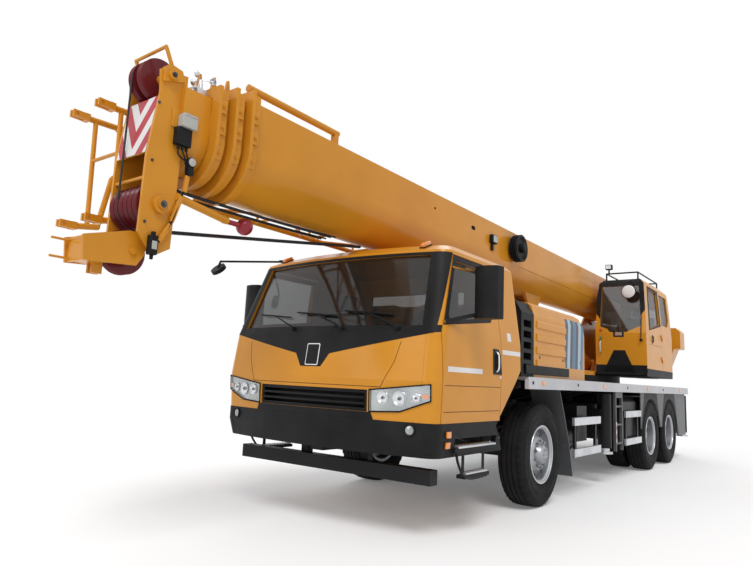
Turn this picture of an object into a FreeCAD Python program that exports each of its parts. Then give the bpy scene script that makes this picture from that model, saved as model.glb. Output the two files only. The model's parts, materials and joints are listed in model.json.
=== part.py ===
"""Truck crane with a telescopic boom, as a parametric document.

Millimetres. X points to the front of the carrier, Y to its left and Z up. The origin lies on the
ground, midway between the tip of the boom head and the tail of the counterweight.
"""
import FreeCAD, Part
import math
import os
import Sketcher
from FreeCAD import Placement, Rotation, Vector

# Driving dimensions: name, millimetres (or degrees, or a count), meaning
SIZES = [
    ("seat", 0.3, "clearance between two pieces that rest on each other"),
    ("gap", 6, "running gap between pieces that move past each other"),
    ("half_width", 1275, "half the carrier's width over the deck rails"),
    # Wheels and axles
    ("front_axle_x", 1635, "front axle"),
    ("mid_axle_x", -2790, "first rear axle"),
    ("rear_axle_x", -4140, "second rear axle"),
    ("tyre_radius", 540, "tyre's outside radius"),
    ("tyre_width", 300, "tyre's width over its walls"),
    ("tread_width", 236, "flat width of the tread"),
    ("bead_radius", 286, "radius of the rim's bead seat"),
    ("front_wheel_y", 1040, "centre of a front tyre"),
    ("rear_wheel_y", 1090, "centre of an outer rear tyre"),
    ("twin_pitch", 340, "distance between twin tyres"),
    ("flange_radius", 303, "rim flange"),
    ("barrel_radius", 264, "inside of the rim's barrel"),
    ("hub_radius", 112, "wheel hub"),
    ("drum_radius", 205, "brake drum"),
    ("front_drum_depth", 90, "front drum's inner face from the tyre's centre"),
    ("rear_drum_depth", 430, "rear drum's inner face from the outer tyre's centre"),
    ("hand_hole_radius", 24, "hand holes in a wheel disc"),
    ("kingpin_y", 880, "steering axis"),
    ("kingpin_radius", 22, "steering pin"),
    ("beam_low_z", 480, "underside of the front axle's beam"),
    ("beam_high_z", 600, "top of the front axle's beam"),
    ("beam_half", 45, "half the front beam's width, and its eye's radius"),
    ("axle_tube_radius", 75, "rear axle tube"),
    ("banjo_radius", 180, "rear axle's bowl"),
    ("spring_y", 450, "centre of a leaf spring"),
    ("spring_wide", 76, "leaf spring's width"),
    ("spring_thick", 62, "leaf spring pack's thickness"),
    ("spring_reach", 650, "half the length of a front spring"),
    ("shaft_radius", 45, "propeller shaft"),
    # Frame and deck
    ("rail_y", 400, "outside of a frame rail"),
    ("rail_thick", 80, "frame rail's width"),
    ("rail_low_z", 760, "underside of the frame rails"),
    ("rail_high_z", 1040, "top of the frame rails"),
    ("rail_drop", 150, "how much lower the rails run under the cab"),
    ("frame_rear_x", -6050, "rear end of the frame"),
    ("frame_front_x", 3700, "front end of the frame"),
    ("girder_top_z", 1300, "top of the torsion girder under the slewing ring"),
    ("girder_front_x", -1080, "front end of the torsion girder"),
    ("girder_half", 460, "half the torsion girder's width"),
    ("ring_radius", 640, "slewing ring"),
    ("ring_top_z", 1480, "top of the fixed half of the slewing ring"),
    ("deck_low_z", 1310, "underside of the deck plate"),
    ("deck_thick", 30, "deck plate"),
    ("deck_bracket_y", 1150, "outer end of the gussets under the deck"),
    ("deck_front_x", 2235, "front edge of the deck"),
    ("deck_rear_x", -5645, "rear edge of the deck"),
    ("edge_low_z", 1220, "lower edge of the silver side rail"),
    ("edge_thick", 40, "thickness of the silver side rail"),
    ("underrun_low_z", 430, "underside of the front underrun bar"),
    ("underrun_high_z", 550, "top of the front underrun bar"),
    ("underrun_half", 1110, "half the underrun bar's length"),
    ("tow_eye_radius", 26, "hole of a towing eye"),
    ("tow_eye_thick", 40, "thickness of a towing eye"),
    # Outriggers
    ("front_rig_x", -780, "middle of the front outrigger housing"),
    ("rear_rig_x", -5815, "middle of the rear outrigger housing"),
    ("rig_pitch", 316, "distance between the two beams of a housing"),
    ("rig_half", 318, "half the housing's length along the carrier"),
    ("rig_half_width", 1030, "half the housing's width across the carrier"),
    ("rig_low_z", 700, "underside of an outrigger housing"),
    ("rig_high_z", 1040, "top of an outrigger housing"),
    ("rig_beam_wide", 250, "outrigger beam's width"),
    ("rig_beam_high", 230, "outrigger beam's height"),
    ("rig_beam_inner_y", -990, "inner end of a beam, beyond the carrier's middle"),
    ("jack_y", 1140, "axis of a jack"),
    ("jack_tube_radius", 92, "outside of a jack's tube"),
    ("jack_bore_radius", 72, "inside of a jack's tube"),
    ("jack_low_z", 470, "lower end of a jack's tube"),
    ("jack_high_z", 1190, "upper end of a jack's tube"),
    ("jack_rod_radius", 66, "jack rod"),
    ("pad_radius", 105, "foot plate of a jack"),
    ("pad_low_z", 395, "underside of a foot plate"),
    # Carrier cab
    ("cab_rear_x", 2355, "rear wall of the carrier cab"),
    ("cab_wall", 50, "thickness of walls and doors"),
    ("cab_low_z", 925, "underside of the cab"),
    ("cab_waist_z", 1640, "lower edge of the windscreen"),
    ("cab_brow_z", 2385, "upper edge of the windscreen"),
    ("cab_roof_z", 2450, "roof"),
    ("cab_bulge", 110, "how far the front bows out"),
    ("cab_corner", 130, "radius of the cab's front corners"),
    ("cab_front_low_x", 4040, "middle of the front at its lower edge"),
    ("cab_front_nose_x", 4055, "middle of the front at lamp height"),
    ("cab_front_waist_x", 4000, "middle of the front at the windscreen's lower edge"),
    ("cab_front_brow_x", 3745, "middle of the front at the windscreen's upper edge"),
    ("cab_front_roof_x", 3620, "front end of the flat roof"),
    ("cab_half_low", 1232, "half width at the cab's lower edge"),
    ("cab_half_nose", 1242, "half width at lamp height"),
    ("cab_half_waist", 1236, "half width at the waist"),
    ("cab_half_brow", 1130, "half width at the brow"),
    ("cab_half_roof", 1050, "half width of the flat roof"),
    ("cab_nose_z", 1250, "height of the widest section"),
    ("door_front_x", 3835, "front edge of a door below the waist"),
    ("door_gap", 8, "gap round a door"),
    ("door_rear_x", 2785, "rear edge of a door"),
    ("door_top_z", 2350, "upper edge of a door"),
    ("door_lean", 290, "how far the upper front corner of a door lies back"),
    ("window_low_z", 1750, "lower front corner of a door window"),
    ("window_rise", 110, "rise of a door window's lower edge towards the rear"),
    ("window_high_z", 2290, "upper edge of a door window"),
    ("screen_half_low", 1060, "half the windscreen's width at its foot"),
    ("screen_half_high", 985, "half the windscreen's width at its head"),
    ("screen_low_z", 1700, "foot of the windscreen"),
    ("screen_high_z", 2335, "head of the windscreen"),
    ("glass_thick", 8, "cab glass"),
    ("skirt_low_z", 655, "lower edge of the black skirt"),
    ("arch_top_x", 2350, "upper end of the wheel arch's slant"),
    ("arch_top_z", 1395, "height of the slant's upper end"),
    ("arch_low_x", 2870, "lower end of the wheel arch's slant"),
    ("arch_low_z", 880, "height of the slant's lower end"),
    ("skirt_rear_x", 2705, "rear lower corner of the skirt"),
    ("mirror_out_y", 1560, "outermost face of the mirrors"),
    # Engine hood
    ("hood_front_x", 1815, "front of the engine hood"),
    ("hood_rear_x", 195, "rear of the engine hood"),
    ("hood_half", 1150, "half the hood's width"),
    ("hood_top_z", 2150, "top of the hood"),
    ("hood_wall", 40, "thickness of the hood"),
    ("vent_front_x", 2140, "front of the radiator housing"),
    ("vent_inner_y", 470, "inner side of a radiator housing"),
    ("engine_front_x", 1700, "front of the engine"),
    ("engine_rear_x", 480, "rear of the engine"),
    ("engine_half", 305, "half the engine's width"),
    ("engine_high_z", 1900, "top of the engine"),
    # Superstructure
    ("slew_x", -3115, "slewing axis"),
    ("tail_radius", 3230, "tail swing radius"),
    ("table_low_z", 1486, "underside of the turning half of the ring"),
    ("table_top_z", 1560, "top of the turntable's floor"),
    ("cheek_y", 345, "inner side of the turntable's cheeks"),
    ("cheek_thick", 30, "turntable cheek plate"),
    ("pivot_x", -4765, "boom foot pin"),
    ("pivot_z", 2700, "height of the boom foot pin"),
    ("pivot_radius", 60, "boom foot pin's radius"),
    ("lift_foot_x", -3400, "foot pin of the lift cylinder"),
    ("lift_foot_z", 1680, "height of the lift cylinder's foot pin"),
    ("lift_head_x", -565, "head pin of the lift cylinder"),
    ("lift_head_z", 2440, "height of the head pin"),
    ("lift_barrel_radius", 118, "outside of the lift cylinder"),
    ("lift_rod_radius", 80, "lift cylinder's rod"),
    ("lift_eye_radius", 95, "eyes of the lift cylinder"),
    ("lift_pin_radius", 45, "pins of the lift cylinder"),
    ("weight_front_x", -5720, "front of the counterweight"),
    ("weight_low_z", 1800, "underside of the counterweight"),
    ("weight_top_z", 2560, "top of the counterweight"),
    ("weight_half", 1150, "half the counterweight's width"),
    ("main_winch_x", -5290, "axis of the main winch"),
    ("main_winch_z", 1900, "height of the main winch"),
    ("aux_winch_x", -5495, "axis of the auxiliary winch"),
    ("aux_winch_z", 2345, "height of the auxiliary winch"),
    ("winch_core", 150, "radius of a winch drum"),
    ("winch_flange", 215, "radius of a winch flange"),
    # Operator's cab
    ("up_front_x", -2590, "front of the operator's cab at its foot"),
    ("up_rear_x", -4440, "rear of the operator's cab"),
    ("up_inner_y", 425, "inner side of the operator's cab"),
    ("up_outer_y", 1245, "outer side of the operator's cab"),
    ("up_low_z", 1545, "underside of the operator's cab"),
    ("up_waist_z", 2190, "lower edge of its front window"),
    ("up_top_z", 3130, "roof of the operator's cab"),
    ("up_lean", 150, "how far the windscreen's head lies back"),
    ("up_tumble", 60, "how far the outer side leans in at the roof"),
    ("up_wall", 45, "wall and door of the operator's cab"),
    ("up_door_front_x", -2760, "front edge of the operator's door"),
    ("up_door_rear_x", -3640, "hinged rear edge of the operator's door"),
    ("up_window_low_z", 2420, "lower edge of the side windows"),
    ("up_window_high_z", 3030, "upper edge of the side windows"),
    ("up_hinge_radius", 9, "knuckles of the operator's door hinges"),
    # Boom
    ("boom_tail_x", -5015, "tail of the base section"),
    ("boom_half", 320, "half the base section's width"),
    ("boom_top_z", 3285, "top of the base section"),
    ("boom_belly_z", 2565, "belly of the base section"),
    ("boom_wall", 10, "plate of a boom section"),
    ("boom_step", 28, "how much each section is smaller all round"),
    ("boom_collar_x", 5235, "front face of the base section's collar"),
    ("collar_long", 95, "length of a collar"),
    ("collar_pitch", 130, "distance between the collars' front faces"),
    ("collar_proud", 38, "how far a collar stands out"),
    ("inner_tail_x", -4480, "tail of section 2"),
    ("inner_tail_step", 110, "how much further in each next tail lies"),
    ("head_half", 195, "outer side of the boom head's cheeks"),
    ("head_plate", 22, "boom head's cheek plates"),
    ("head_rear_x", 5678, "rear edge of the boom head"),
    ("head_front_x", 5940, "front edge of the boom head's cheeks"),
    ("head_top_z", 3300, "top of the boom head"),
    ("head_low_z", 1985, "lower end of the boom head"),
    ("head_tip_x", 6345, "tips of the guard rods in front of the bracket"),
    ("bracket_front_x", 6250, "front of the auxiliary sheave's bracket"),
    ("bracket_half", 120, "half the bracket's width"),
    ("top_sheave_radius", 155, "top sheaves"),
    ("top_sheave_x", 5815, "axis of the top sheaves"),
    ("top_sheave_z", 3245, "height of the top sheaves"),
    ("low_sheave_radius", 155, "main sheaves"),
    ("low_sheave_x", 5800, "axis of the main sheaves"),
    ("low_sheave_z", 2335, "height of the main sheaves"),
    ("tip_sheave_radius", 150, "auxiliary sheave"),
    ("tip_sheave_x", 5920, "axis of the auxiliary sheave"),
    ("tip_sheave_z", 2005, "height of the auxiliary sheave"),
    ("sheave_pin_radius", 34, "pins of the head's sheaves"),
    ("ball_arm_long", 490, "how far the ball weight's arm reaches back from the head"),
    ("ball_arm_y", 110, "ball weight, left of the middle"),
    ("ball_arm_z", 2385, "height of the ball weight's arm at its end"),
    # Stowed jib
    ("jib_side_y", -595, "middle of the stowed jib"),
    ("jib_half", 180, "half the jib's width"),
    ("jib_high_z", 3150, "upper chords of the jib"),
    ("jib_low_z", 2720, "lower chords of the jib"),
    ("jib_rear_x", -1900, "rear end of the jib"),
    ("jib_front_x", 5600, "front end of the jib's lattice"),
    ("jib_fork_x", 6000, "tips of the jib's forks"),
    ("jib_fork_z", 2285, "height of the jib's lower forks"),
    ("chord_radius", 26, "jib chord tubes"),
    ("jib_flange", 30, "thickness of the flanges at the chords' ends"),
    ("lace_radius", 13, "jib lacing tubes"),
]

doc = FreeCAD.newDocument("TruckCrane")
sheet = doc.addObject("Spreadsheet::Sheet", "Sizes")


class Length:
    """A number together with the sheet expression that gives it."""

    def __init__(self, value, text):
        self.value = value
        self.text = text

    def __add__(self, other):
        return Length(self.value + number(other), "(%s + %s)" % (self.text, formula(other)))

    def __radd__(self, other):
        return Length(number(other) + self.value, "(%s + %s)" % (formula(other), self.text))

    def __sub__(self, other):
        return Length(self.value - number(other), "(%s - %s)" % (self.text, formula(other)))

    def __rsub__(self, other):
        return Length(number(other) - self.value, "(%s - %s)" % (formula(other), self.text))

    def __mul__(self, other):
        return Length(self.value * number(other), "(%s * %s)" % (self.text, formula(other)))

    def __rmul__(self, other):
        return Length(number(other) * self.value, "(%s * %s)" % (formula(other), self.text))

    def __truediv__(self, other):
        return Length(self.value / number(other), "(%s / %s)" % (self.text, formula(other)))

    def __neg__(self):
        return Length(-self.value, "(-1 * %s)" % self.text)


def number(size):
    return size.value if isinstance(size, Length) else float(size)


def formula(size):
    return size.text if isinstance(size, Length) else repr(float(size))


class SizeNames:
    """Each driving dimension as an attribute."""


S = SizeNames()
for row, (alias, value, meaning) in enumerate(SIZES, start=1):
    sheet.set("A%d" % row, alias)
    sheet.set("B%d" % row, str(value))
    sheet.set("C%d" % row, meaning)
    sheet.setAlias("B%d" % row, alias)
    setattr(S, alias, Length(value, "Sizes." + alias))
doc.recompute()

NODES = []
ALONG = {
    "x": Rotation(Vector(0, 1, 0), 90),
    "y": Rotation(Vector(1, 0, 0), -90),
    "z": Rotation(),
}
# How a sketch's own axes lie in each plane
PLANES = {
    "xy": Rotation(),
    "xz": Rotation(Vector(1, 0, 0), 90),
    "yz": Rotation(Vector(1, 1, 1), 120),
    "zy": Rotation(Vector(0, 1, 0), -90),
    "zx": Rotation(Vector(1, 1, 1), -120),
}
AXES = {"x": Vector(1, 0, 0), "y": Vector(0, 1, 0), "z": Vector(0, 0, 1)}


def bind(thing, path, size):
    if isinstance(size, Length):
        thing.setExpression(path, size.text)


def place(thing, spot, turn=Rotation()):
    thing.Placement = Placement(Vector(*[number(part) for part in spot]), turn)
    for axis, part in zip("xyz", spot):
        bind(thing, "Placement.Base." + axis, part)
    return thing


def box(low, high):
    """A block between two corners."""
    thing = doc.addObject("Part::Box", "Block")
    for side, start, end in zip(("Length", "Width", "Height"), low, high):
        size = end - start
        setattr(thing, side, number(size))
        bind(thing, side, size)
    return place(thing, low)


def rod(axis, spot, radius, length):
    """A round bar that starts at spot and runs along an axis."""
    thing = doc.addObject("Part::Cylinder", "Bar")
    thing.Radius = number(radius)
    thing.Height = number(length)
    bind(thing, "Radius", radius)
    bind(thing, "Height", length)
    return place(thing, spot, ALONG[axis])


def ball(spot, radius):
    thing = doc.addObject("Part::Sphere", "Ball")
    thing.Radius = number(radius)
    bind(thing, "Radius", radius)
    return place(thing, spot)


def arc_centre(start, end, radius):
    """Centre of the shorter arc; a positive radius has it on the left of the way."""
    chord = end - start
    half = chord.Length / 2
    depth = math.sqrt(max(radius * radius - half * half, 0))
    left = Vector(-chord.y, chord.x, 0).normalize()
    return (start + end) * 0.5 + left * math.copysign(depth, radius)


def sketch(plane, points, spot=(0, 0, 0)):
    """A closed outline. A point is (u, v), or (u, v, radius) where an arc leads to the next."""
    drawing = doc.addObject("Sketcher::SketchObject", "Outline")
    place(drawing, spot, PLANES[plane])
    corners = [Vector(number(p[0]), number(p[1]), 0) for p in points]
    ends = []
    for i, point in enumerate(points):
        start = corners[i]
        end = corners[(i + 1) % len(points)]
        if len(point) == 2:
            drawing.addGeometry(Part.LineSegment(start, end), False)
            ends.append((1, 2))
            continue
        radius = number(point[2])
        centre = arc_centre(start, end, radius)
        first, last = (start, end) if radius > 0 else (end, start)
        a = math.atan2(first.y - centre.y, first.x - centre.x)
        b = math.atan2(last.y - centre.y, last.x - centre.x)
        if b < a:
            b += 2 * math.pi
        circle = Part.Circle(centre, Vector(0, 0, 1), abs(radius))
        drawing.addGeometry(Part.ArcOfCircle(circle, a, b), False)
        ends.append((1, 2) if radius > 0 else (2, 1))
    for i, point in enumerate(points):
        after = (i + 1) % len(points)
        drawing.addConstraint(Sketcher.Constraint("Coincident", i, ends[i][1], after, ends[after][0]))
        for kind, size in zip(("DistanceX", "DistanceY"), point[:2]):
            one = drawing.addConstraint(Sketcher.Constraint(kind, -1, 1, i, ends[i][0], number(size)))
            bind(drawing, "Constraints[%d]" % one, size)
        if len(point) == 3:
            size = point[2] if number(point[2]) > 0 else -point[2]
            one = drawing.addConstraint(Sketcher.Constraint("Radius", i, number(size)))
            bind(drawing, "Constraints[%d]" % one, size)
    return drawing


def slab(plane, points, start, end):
    """An outline drawn in a plane and extruded from start to end across it."""
    spot = {
        "xy": (0, 0, start),
        "xz": (0, end, 0),
        "yz": (start, 0, 0),
    }[plane]
    thing = doc.addObject("Part::Extrusion", "Slab")
    thing.Base = sketch(plane, points, spot)
    thing.DirMode = "Normal"
    thing.Solid = True
    depth = end - start
    thing.LengthFwd = number(depth)
    bind(thing, "LengthFwd", depth)
    return thing


def turned(axis, points, spot):
    """A body of revolution. Its outline's points are (radius, distance along the axis)."""
    plane = {"x": "zx", "y": "zy", "z": "xz"}[axis]
    thing = doc.addObject("Part::Revolution", "Turned")
    thing.Source = sketch(plane, points, spot)
    thing.Axis = AXES[axis]
    thing.Base = Vector(*[number(part) for part in spot])
    for name, part in zip("xyz", spot):
        bind(thing, "Base." + name, part)
    thing.Angle = 360
    thing.Solid = True
    return thing


def loft(sections):
    thing = doc.addObject("Part::Loft", "Loft")
    thing.Sections = sections
    thing.Solid = True
    thing.Ruled = True
    return thing


def fuse(*things):
    if len(things) == 1:
        return things[0]
    thing = doc.addObject("Part::MultiFuse", "Union")
    thing.Shapes = list(things)
    thing.Refine = True
    return thing


def cut(base, *tools):
    thing = doc.addObject("Part::Cut", "Difference")
    thing.Base = base
    thing.Tool = fuse(*tools)
    return thing


def common(base, tool):
    thing = doc.addObject("Part::Common", "Overlap")
    thing.Base = base
    thing.Tool = tool
    return thing


def mirrored(thing):
    """The same piece on the other side of the carrier's middle plane."""
    other = doc.addObject("Part::Mirroring", "Mirrored")
    other.Source = thing
    other.Normal = Vector(0, 1, 0)
    return other


def group(*things):
    thing = doc.addObject("Part::Compound", "Set")
    thing.Links = list(things)
    return thing


def node(name, *things):
    """Names a sub-part."""
    thing = things[0] if len(things) == 1 else group(*things)
    if thing.Label in NODES:
        thing = group(thing)
    thing.Label = name
    NODES.append(name)
    return thing


def strut(start, end, radius):
    """A round tube between two points, whose ends follow the sizes."""
    thing = doc.addObject("Part::Cylinder", "Strut")
    run = [b - a for a, b in zip(start, end)]
    parts = [number(part) for part in run]
    long = math.sqrt(sum(part * part for part in parts))
    thing.Radius = number(radius)
    bind(thing, "Radius", radius)
    squares = " + ".join("pow(%s; 2)" % formula(part) for part in run)
    thing.Height = long
    thing.setExpression("Height", "sqrt(%s)" % squares)
    place(thing, start)
    dx, dy, dz = [formula(part) for part in run]
    # The tube turns from Z to its own direction about the axis (-dy, dx, 0)
    thing.setExpression("Placement.Rotation.Axis.x", "-1 * %s" % dy)
    thing.setExpression("Placement.Rotation.Axis.y", dx)
    thing.setExpression("Placement.Rotation.Axis.z", "0")
    thing.setExpression("Placement.Rotation.Angle", "acos(%s / sqrt(%s))" % (dz, squares))
    return thing


def root(size):
    return Length(math.sqrt(number(size)), "sqrt(%s)" % formula(size))


def square(size):
    return size * size


# Wheels

def tyre(x, y):
    half = S.tyre_width / 2
    bulge = S.bead_radius + 150
    bead = 0.76 * half - 10
    return turned("y", [
        (S.bead_radius + S.seat, -bead),
        (bulge, -half),
        (S.tyre_radius, -S.tread_width / 2),
        (S.tyre_radius, S.tread_width / 2),
        (bulge, half),
        (S.bead_radius + S.seat, bead),
    ], (x, y, S.tyre_radius))


def rim_lip(side):
    """The rim's outer edge on one side, from its bead seat round to the inside of the barrel."""
    edge = side * (S.tyre_width * 0.38 + 6)
    return [
        (S.bead_radius, edge - side * 14),
        (S.flange_radius, edge),
        (S.flange_radius, edge + side * 9),
        (S.barrel_radius + 12, edge + side * 4),
        (S.barrel_radius, edge - side * 10),
    ]


def hand_holes(x, y, depth, ring, count=8):
    holes = []
    for k in range(count):
        turn = 2 * math.pi * k / count
        spot = (x + ring * math.cos(turn), y, S.tyre_radius + ring * math.sin(turn))
        holes.append(rod("y", spot, S.hand_hole_radius, depth))
    return holes


def front_rim(x, y):
    """Rim, disc that bulges outwards, hub and drum of a left front wheel."""
    outer_lip = rim_lip(1)
    inner_lip = rim_lip(-1)[::-1]
    body = turned("y", [
        (0, -S.front_drum_depth),
        (S.drum_radius, -S.front_drum_depth),
        (S.drum_radius, -10),
        (S.barrel_radius, -20),
    ] + inner_lip + outer_lip + [
        (S.barrel_radius, 30),
        (S.drum_radius + 6, 50),
        (S.hub_radius + 50, 104),
        (S.hub_radius, 106),
        (S.hub_radius - 20, 150),
        (S.hub_radius - 42, 168),
        (0, 168),
    ], (x, y, S.tyre_radius))
    return cut(body, *hand_holes(x, y + 4, 130, S.barrel_radius - 32))


def twin_rims(x, y):
    """Outer and inner rim of a left rear wheel, whose discs meet between the tyres."""
    middle = S.twin_pitch / 2
    outer = turned("y", [
        (0, -middle + S.seat / 2),
        (S.hub_radius + 60, -middle + S.seat / 2),
        (S.barrel_radius - 34, -middle + 66),
        (S.barrel_radius, -middle + 84),
    ] + rim_lip(-1)[::-1] + rim_lip(1) + [
        (S.barrel_radius, -middle + 98),
        (S.barrel_radius - 40, -middle + 82),
        (S.hub_radius + 52, -middle + 14),
        (S.hub_radius, -middle + 14),
        (S.hub_radius - 14, 40),
        (S.hub_radius - 40, 62),
        (0, 62),
    ], (x, y, S.tyre_radius))
    inner = turned("y", [
        (0, middle - S.seat / 2),
        (S.hub_radius + 60, middle - S.seat / 2),
        (S.barrel_radius - 34, middle - 66),
        (S.barrel_radius, middle - 84),
    ] + rim_lip(1)[::-1] + rim_lip(-1) + [
        (S.barrel_radius, middle - 98),
        (S.drum_radius, middle - 90),
        (S.drum_radius, S.twin_pitch - S.rear_drum_depth),
        (0, S.twin_pitch - S.rear_drum_depth),
    ], (x, y - S.twin_pitch, S.tyre_radius))
    return cut(outer, *hand_holes(x, y - middle + 1, 140, S.barrel_radius - 52)), inner


def wheels():
    left_tyre = node("tyre_front_left", tyre(S.front_axle_x, S.front_wheel_y))
    left_rim = node("rim_front_left", front_rim(S.front_axle_x, S.front_wheel_y))
    node("tyre_front_right", mirrored(left_tyre))
    node("rim_front_right", mirrored(left_rim))
    for axle, x in (("mid", S.mid_axle_x), ("rear", S.rear_axle_x)):
        twins = [tyre(x, S.rear_wheel_y), tyre(x, S.rear_wheel_y - S.twin_pitch)]
        rims = twin_rims(x, S.rear_wheel_y)
        node("tyres_%s_left" % axle, *twins)
        node("rims_%s_left" % axle, *rims)
        node("tyres_%s_right" % axle, *[mirrored(one) for one in twins])
        node("rims_%s_right" % axle, *[mirrored(one) for one in rims])


# Axles, springs and steering

def leaf_spring(x, reach, low_z, sag):
    """A bowed pack of leaves whose lowest line is at low_z."""
    radius = (square(reach) + square(sag)) / (2 * sag)
    high = low_z + sag
    start = S.spring_y - S.spring_wide / 2
    return slab("xz", [
        (x - reach, high, radius),
        (x + reach, high),
        (x + reach, high + S.spring_thick, -radius),
        (x - reach, high + S.spring_thick),
    ], start, start + S.spring_wide)


SPRING_SAG = 95


def front_axle():
    x = S.front_axle_x
    parts = [box((x - S.beam_half, -S.kingpin_y, S.beam_low_z),
                 (x + S.beam_half, S.kingpin_y, S.beam_high_z))]
    spring = leaf_spring(x, S.spring_reach, S.beam_high_z, SPRING_SAG)
    clamp = box((x - 70, S.spring_y - 46, S.beam_low_z + 20), (x + 70, S.spring_y + 46, S.beam_high_z + 82))
    eye = rod("z", (x, S.kingpin_y, S.beam_low_z), S.beam_half + 8, S.beam_high_z - S.beam_low_z)
    for piece in (spring, clamp, eye):
        parts += [piece, mirrored(piece)]
    hole = rod("z", (x, S.kingpin_y, S.beam_low_z - 5), S.kingpin_radius + S.seat,
               S.beam_high_z - S.beam_low_z + 10)
    node("front_axle", cut(fuse(*parts), hole, mirrored(hole)))


def knuckle():
    """Fork, steering pin and stub axle of the left front wheel."""
    x, y = S.front_axle_x, S.kingpin_y
    wide = S.beam_half + 2
    inner_face = S.front_wheel_y - S.front_drum_depth - S.seat
    fork_low = S.beam_low_z - S.gap - 34
    fork_high = S.beam_high_z + S.gap
    stub_y = y + S.beam_half + 8 + S.gap
    parts = [rod("z", (x, y, fork_low), S.kingpin_radius, fork_high + 34 - fork_low)]
    for low in (fork_low, fork_high):
        parts.append(rod("z", (x, y, low), wide, 34))
        parts.append(box((x - wide, y, low), (x + wide, inner_face, low + 34)))
    parts.append(box((x - wide, stub_y, fork_low), (x + wide, inner_face, fork_high + 34)))
    arm = box((x - 210, y - 24, fork_low + 4), (x, y + 24, fork_low + 30))
    parts.append(arm)
    return fuse(*parts)


def steering():
    left = node("knuckle_left", knuckle())
    node("knuckle_right", mirrored(left))


def rear_axles():
    parts = []
    length = S.rear_wheel_y - S.rear_drum_depth - S.seat
    for x in (S.mid_axle_x, S.rear_axle_x):
        parts.append(rod("y", (x, -length, S.tyre_radius), S.axle_tube_radius, 2 * length))
        parts.append(turned("y", [
            (0, -250), (S.axle_tube_radius, -250), (S.banjo_radius, -80),
            (S.banjo_radius, 80), (S.axle_tube_radius, 250), (0, 250),
        ], (x, 0, S.tyre_radius)))
        parts.append(rod("x", (x, 0, S.tyre_radius), 88, 300))
    parts.append(rod("x", (S.rear_axle_x, 0, S.tyre_radius), S.shaft_radius, S.mid_axle_x - S.rear_axle_x))
    dip = (S.front_rig_x + S.rig_half + 160, 0, S.rig_low_z - S.shaft_radius - 40)
    parts.append(strut((S.mid_axle_x, 0, S.tyre_radius), dip, S.shaft_radius))
    flange = (S.engine_rear_x - S.seat - 45, 0, S.rail_high_z - 40)
    parts.append(strut(dip, (S.engine_rear_x - 60, 0, S.rail_high_z - 40), S.shaft_radius))
    parts.append(rod("x", flange, S.shaft_radius + 20, 45))
    parts.append(ball(dip, S.shaft_radius + 14))
    middle = (S.mid_axle_x + S.rear_axle_x) / 2
    reach = (S.mid_axle_x - S.rear_axle_x) / 2 + 60
    # The rear spring is bowed upwards: its middle hangs under the frame, its ends lie on the axles
    low = S.tyre_radius + S.axle_tube_radius
    bow = 60
    radius = (square(reach) + bow * bow) / (2 * bow)
    start = S.spring_y - S.spring_wide / 2
    spring = slab("xz", [
        (middle - reach, low, -radius),
        (middle + reach, low),
        (middle + reach, low + S.spring_thick, radius),
        (middle - reach, low + S.spring_thick),
    ], start, start + S.spring_wide)
    parts += [spring, mirrored(spring)]
    for x in (S.mid_axle_x, S.rear_axle_x):
        seat = box((x - 60, start, S.tyre_radius), (x + 60, start + S.spring_wide, low + 40))
        parts += [seat, mirrored(seat)]
    node("rear_axles", fuse(*parts))


# Frame, deck and outriggers

# Each outrigger: name, middle of its housing, which beam of the pair, side it slides out to
OUTRIGGERS = [
    ("front_left", S.front_rig_x, 1, 1),
    ("front_right", S.front_rig_x, -1, -1),
    ("rear_left", S.rear_rig_x, 1, 1),
    ("rear_right", S.rear_rig_x, -1, -1),
]
RIG_MIDDLE_Z = (S.rig_low_z + S.rig_high_z) / 2
PAD_LONG = 60
DECK_BRACKETS_X = (2170, 1000, 250, -330)
FRONT_CROSSMEMBERS_X = (2560, 300)
CAB_MOUNTS_X = (3000, 3600)


def rig_sleeve(x):
    """The two halves of what a beam needs in its housing: the sleeve and its wear pads."""
    wide = S.rig_beam_wide / 2
    high = S.rig_beam_high / 2
    end = S.rig_half_width
    hole = box((x - wide - S.gap, -end - 50, RIG_MIDDLE_Z - high - S.gap),
               (x + wide + S.gap, end + 50, RIG_MIDDLE_Z + high + S.gap))
    pads = []
    for start in (-end, end - PAD_LONG):
        pads.append(box((x - 70, start, RIG_MIDDLE_Z - high - S.gap - 4),
                        (x + 70, start + PAD_LONG, RIG_MIDDLE_Z - high - S.seat)))
        pads.append(box((x - 70, start, RIG_MIDDLE_Z + high + S.seat),
                        (x + 70, start + PAD_LONG, RIG_MIDDLE_Z + high + S.gap + 4)))
    return hole, pads


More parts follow.
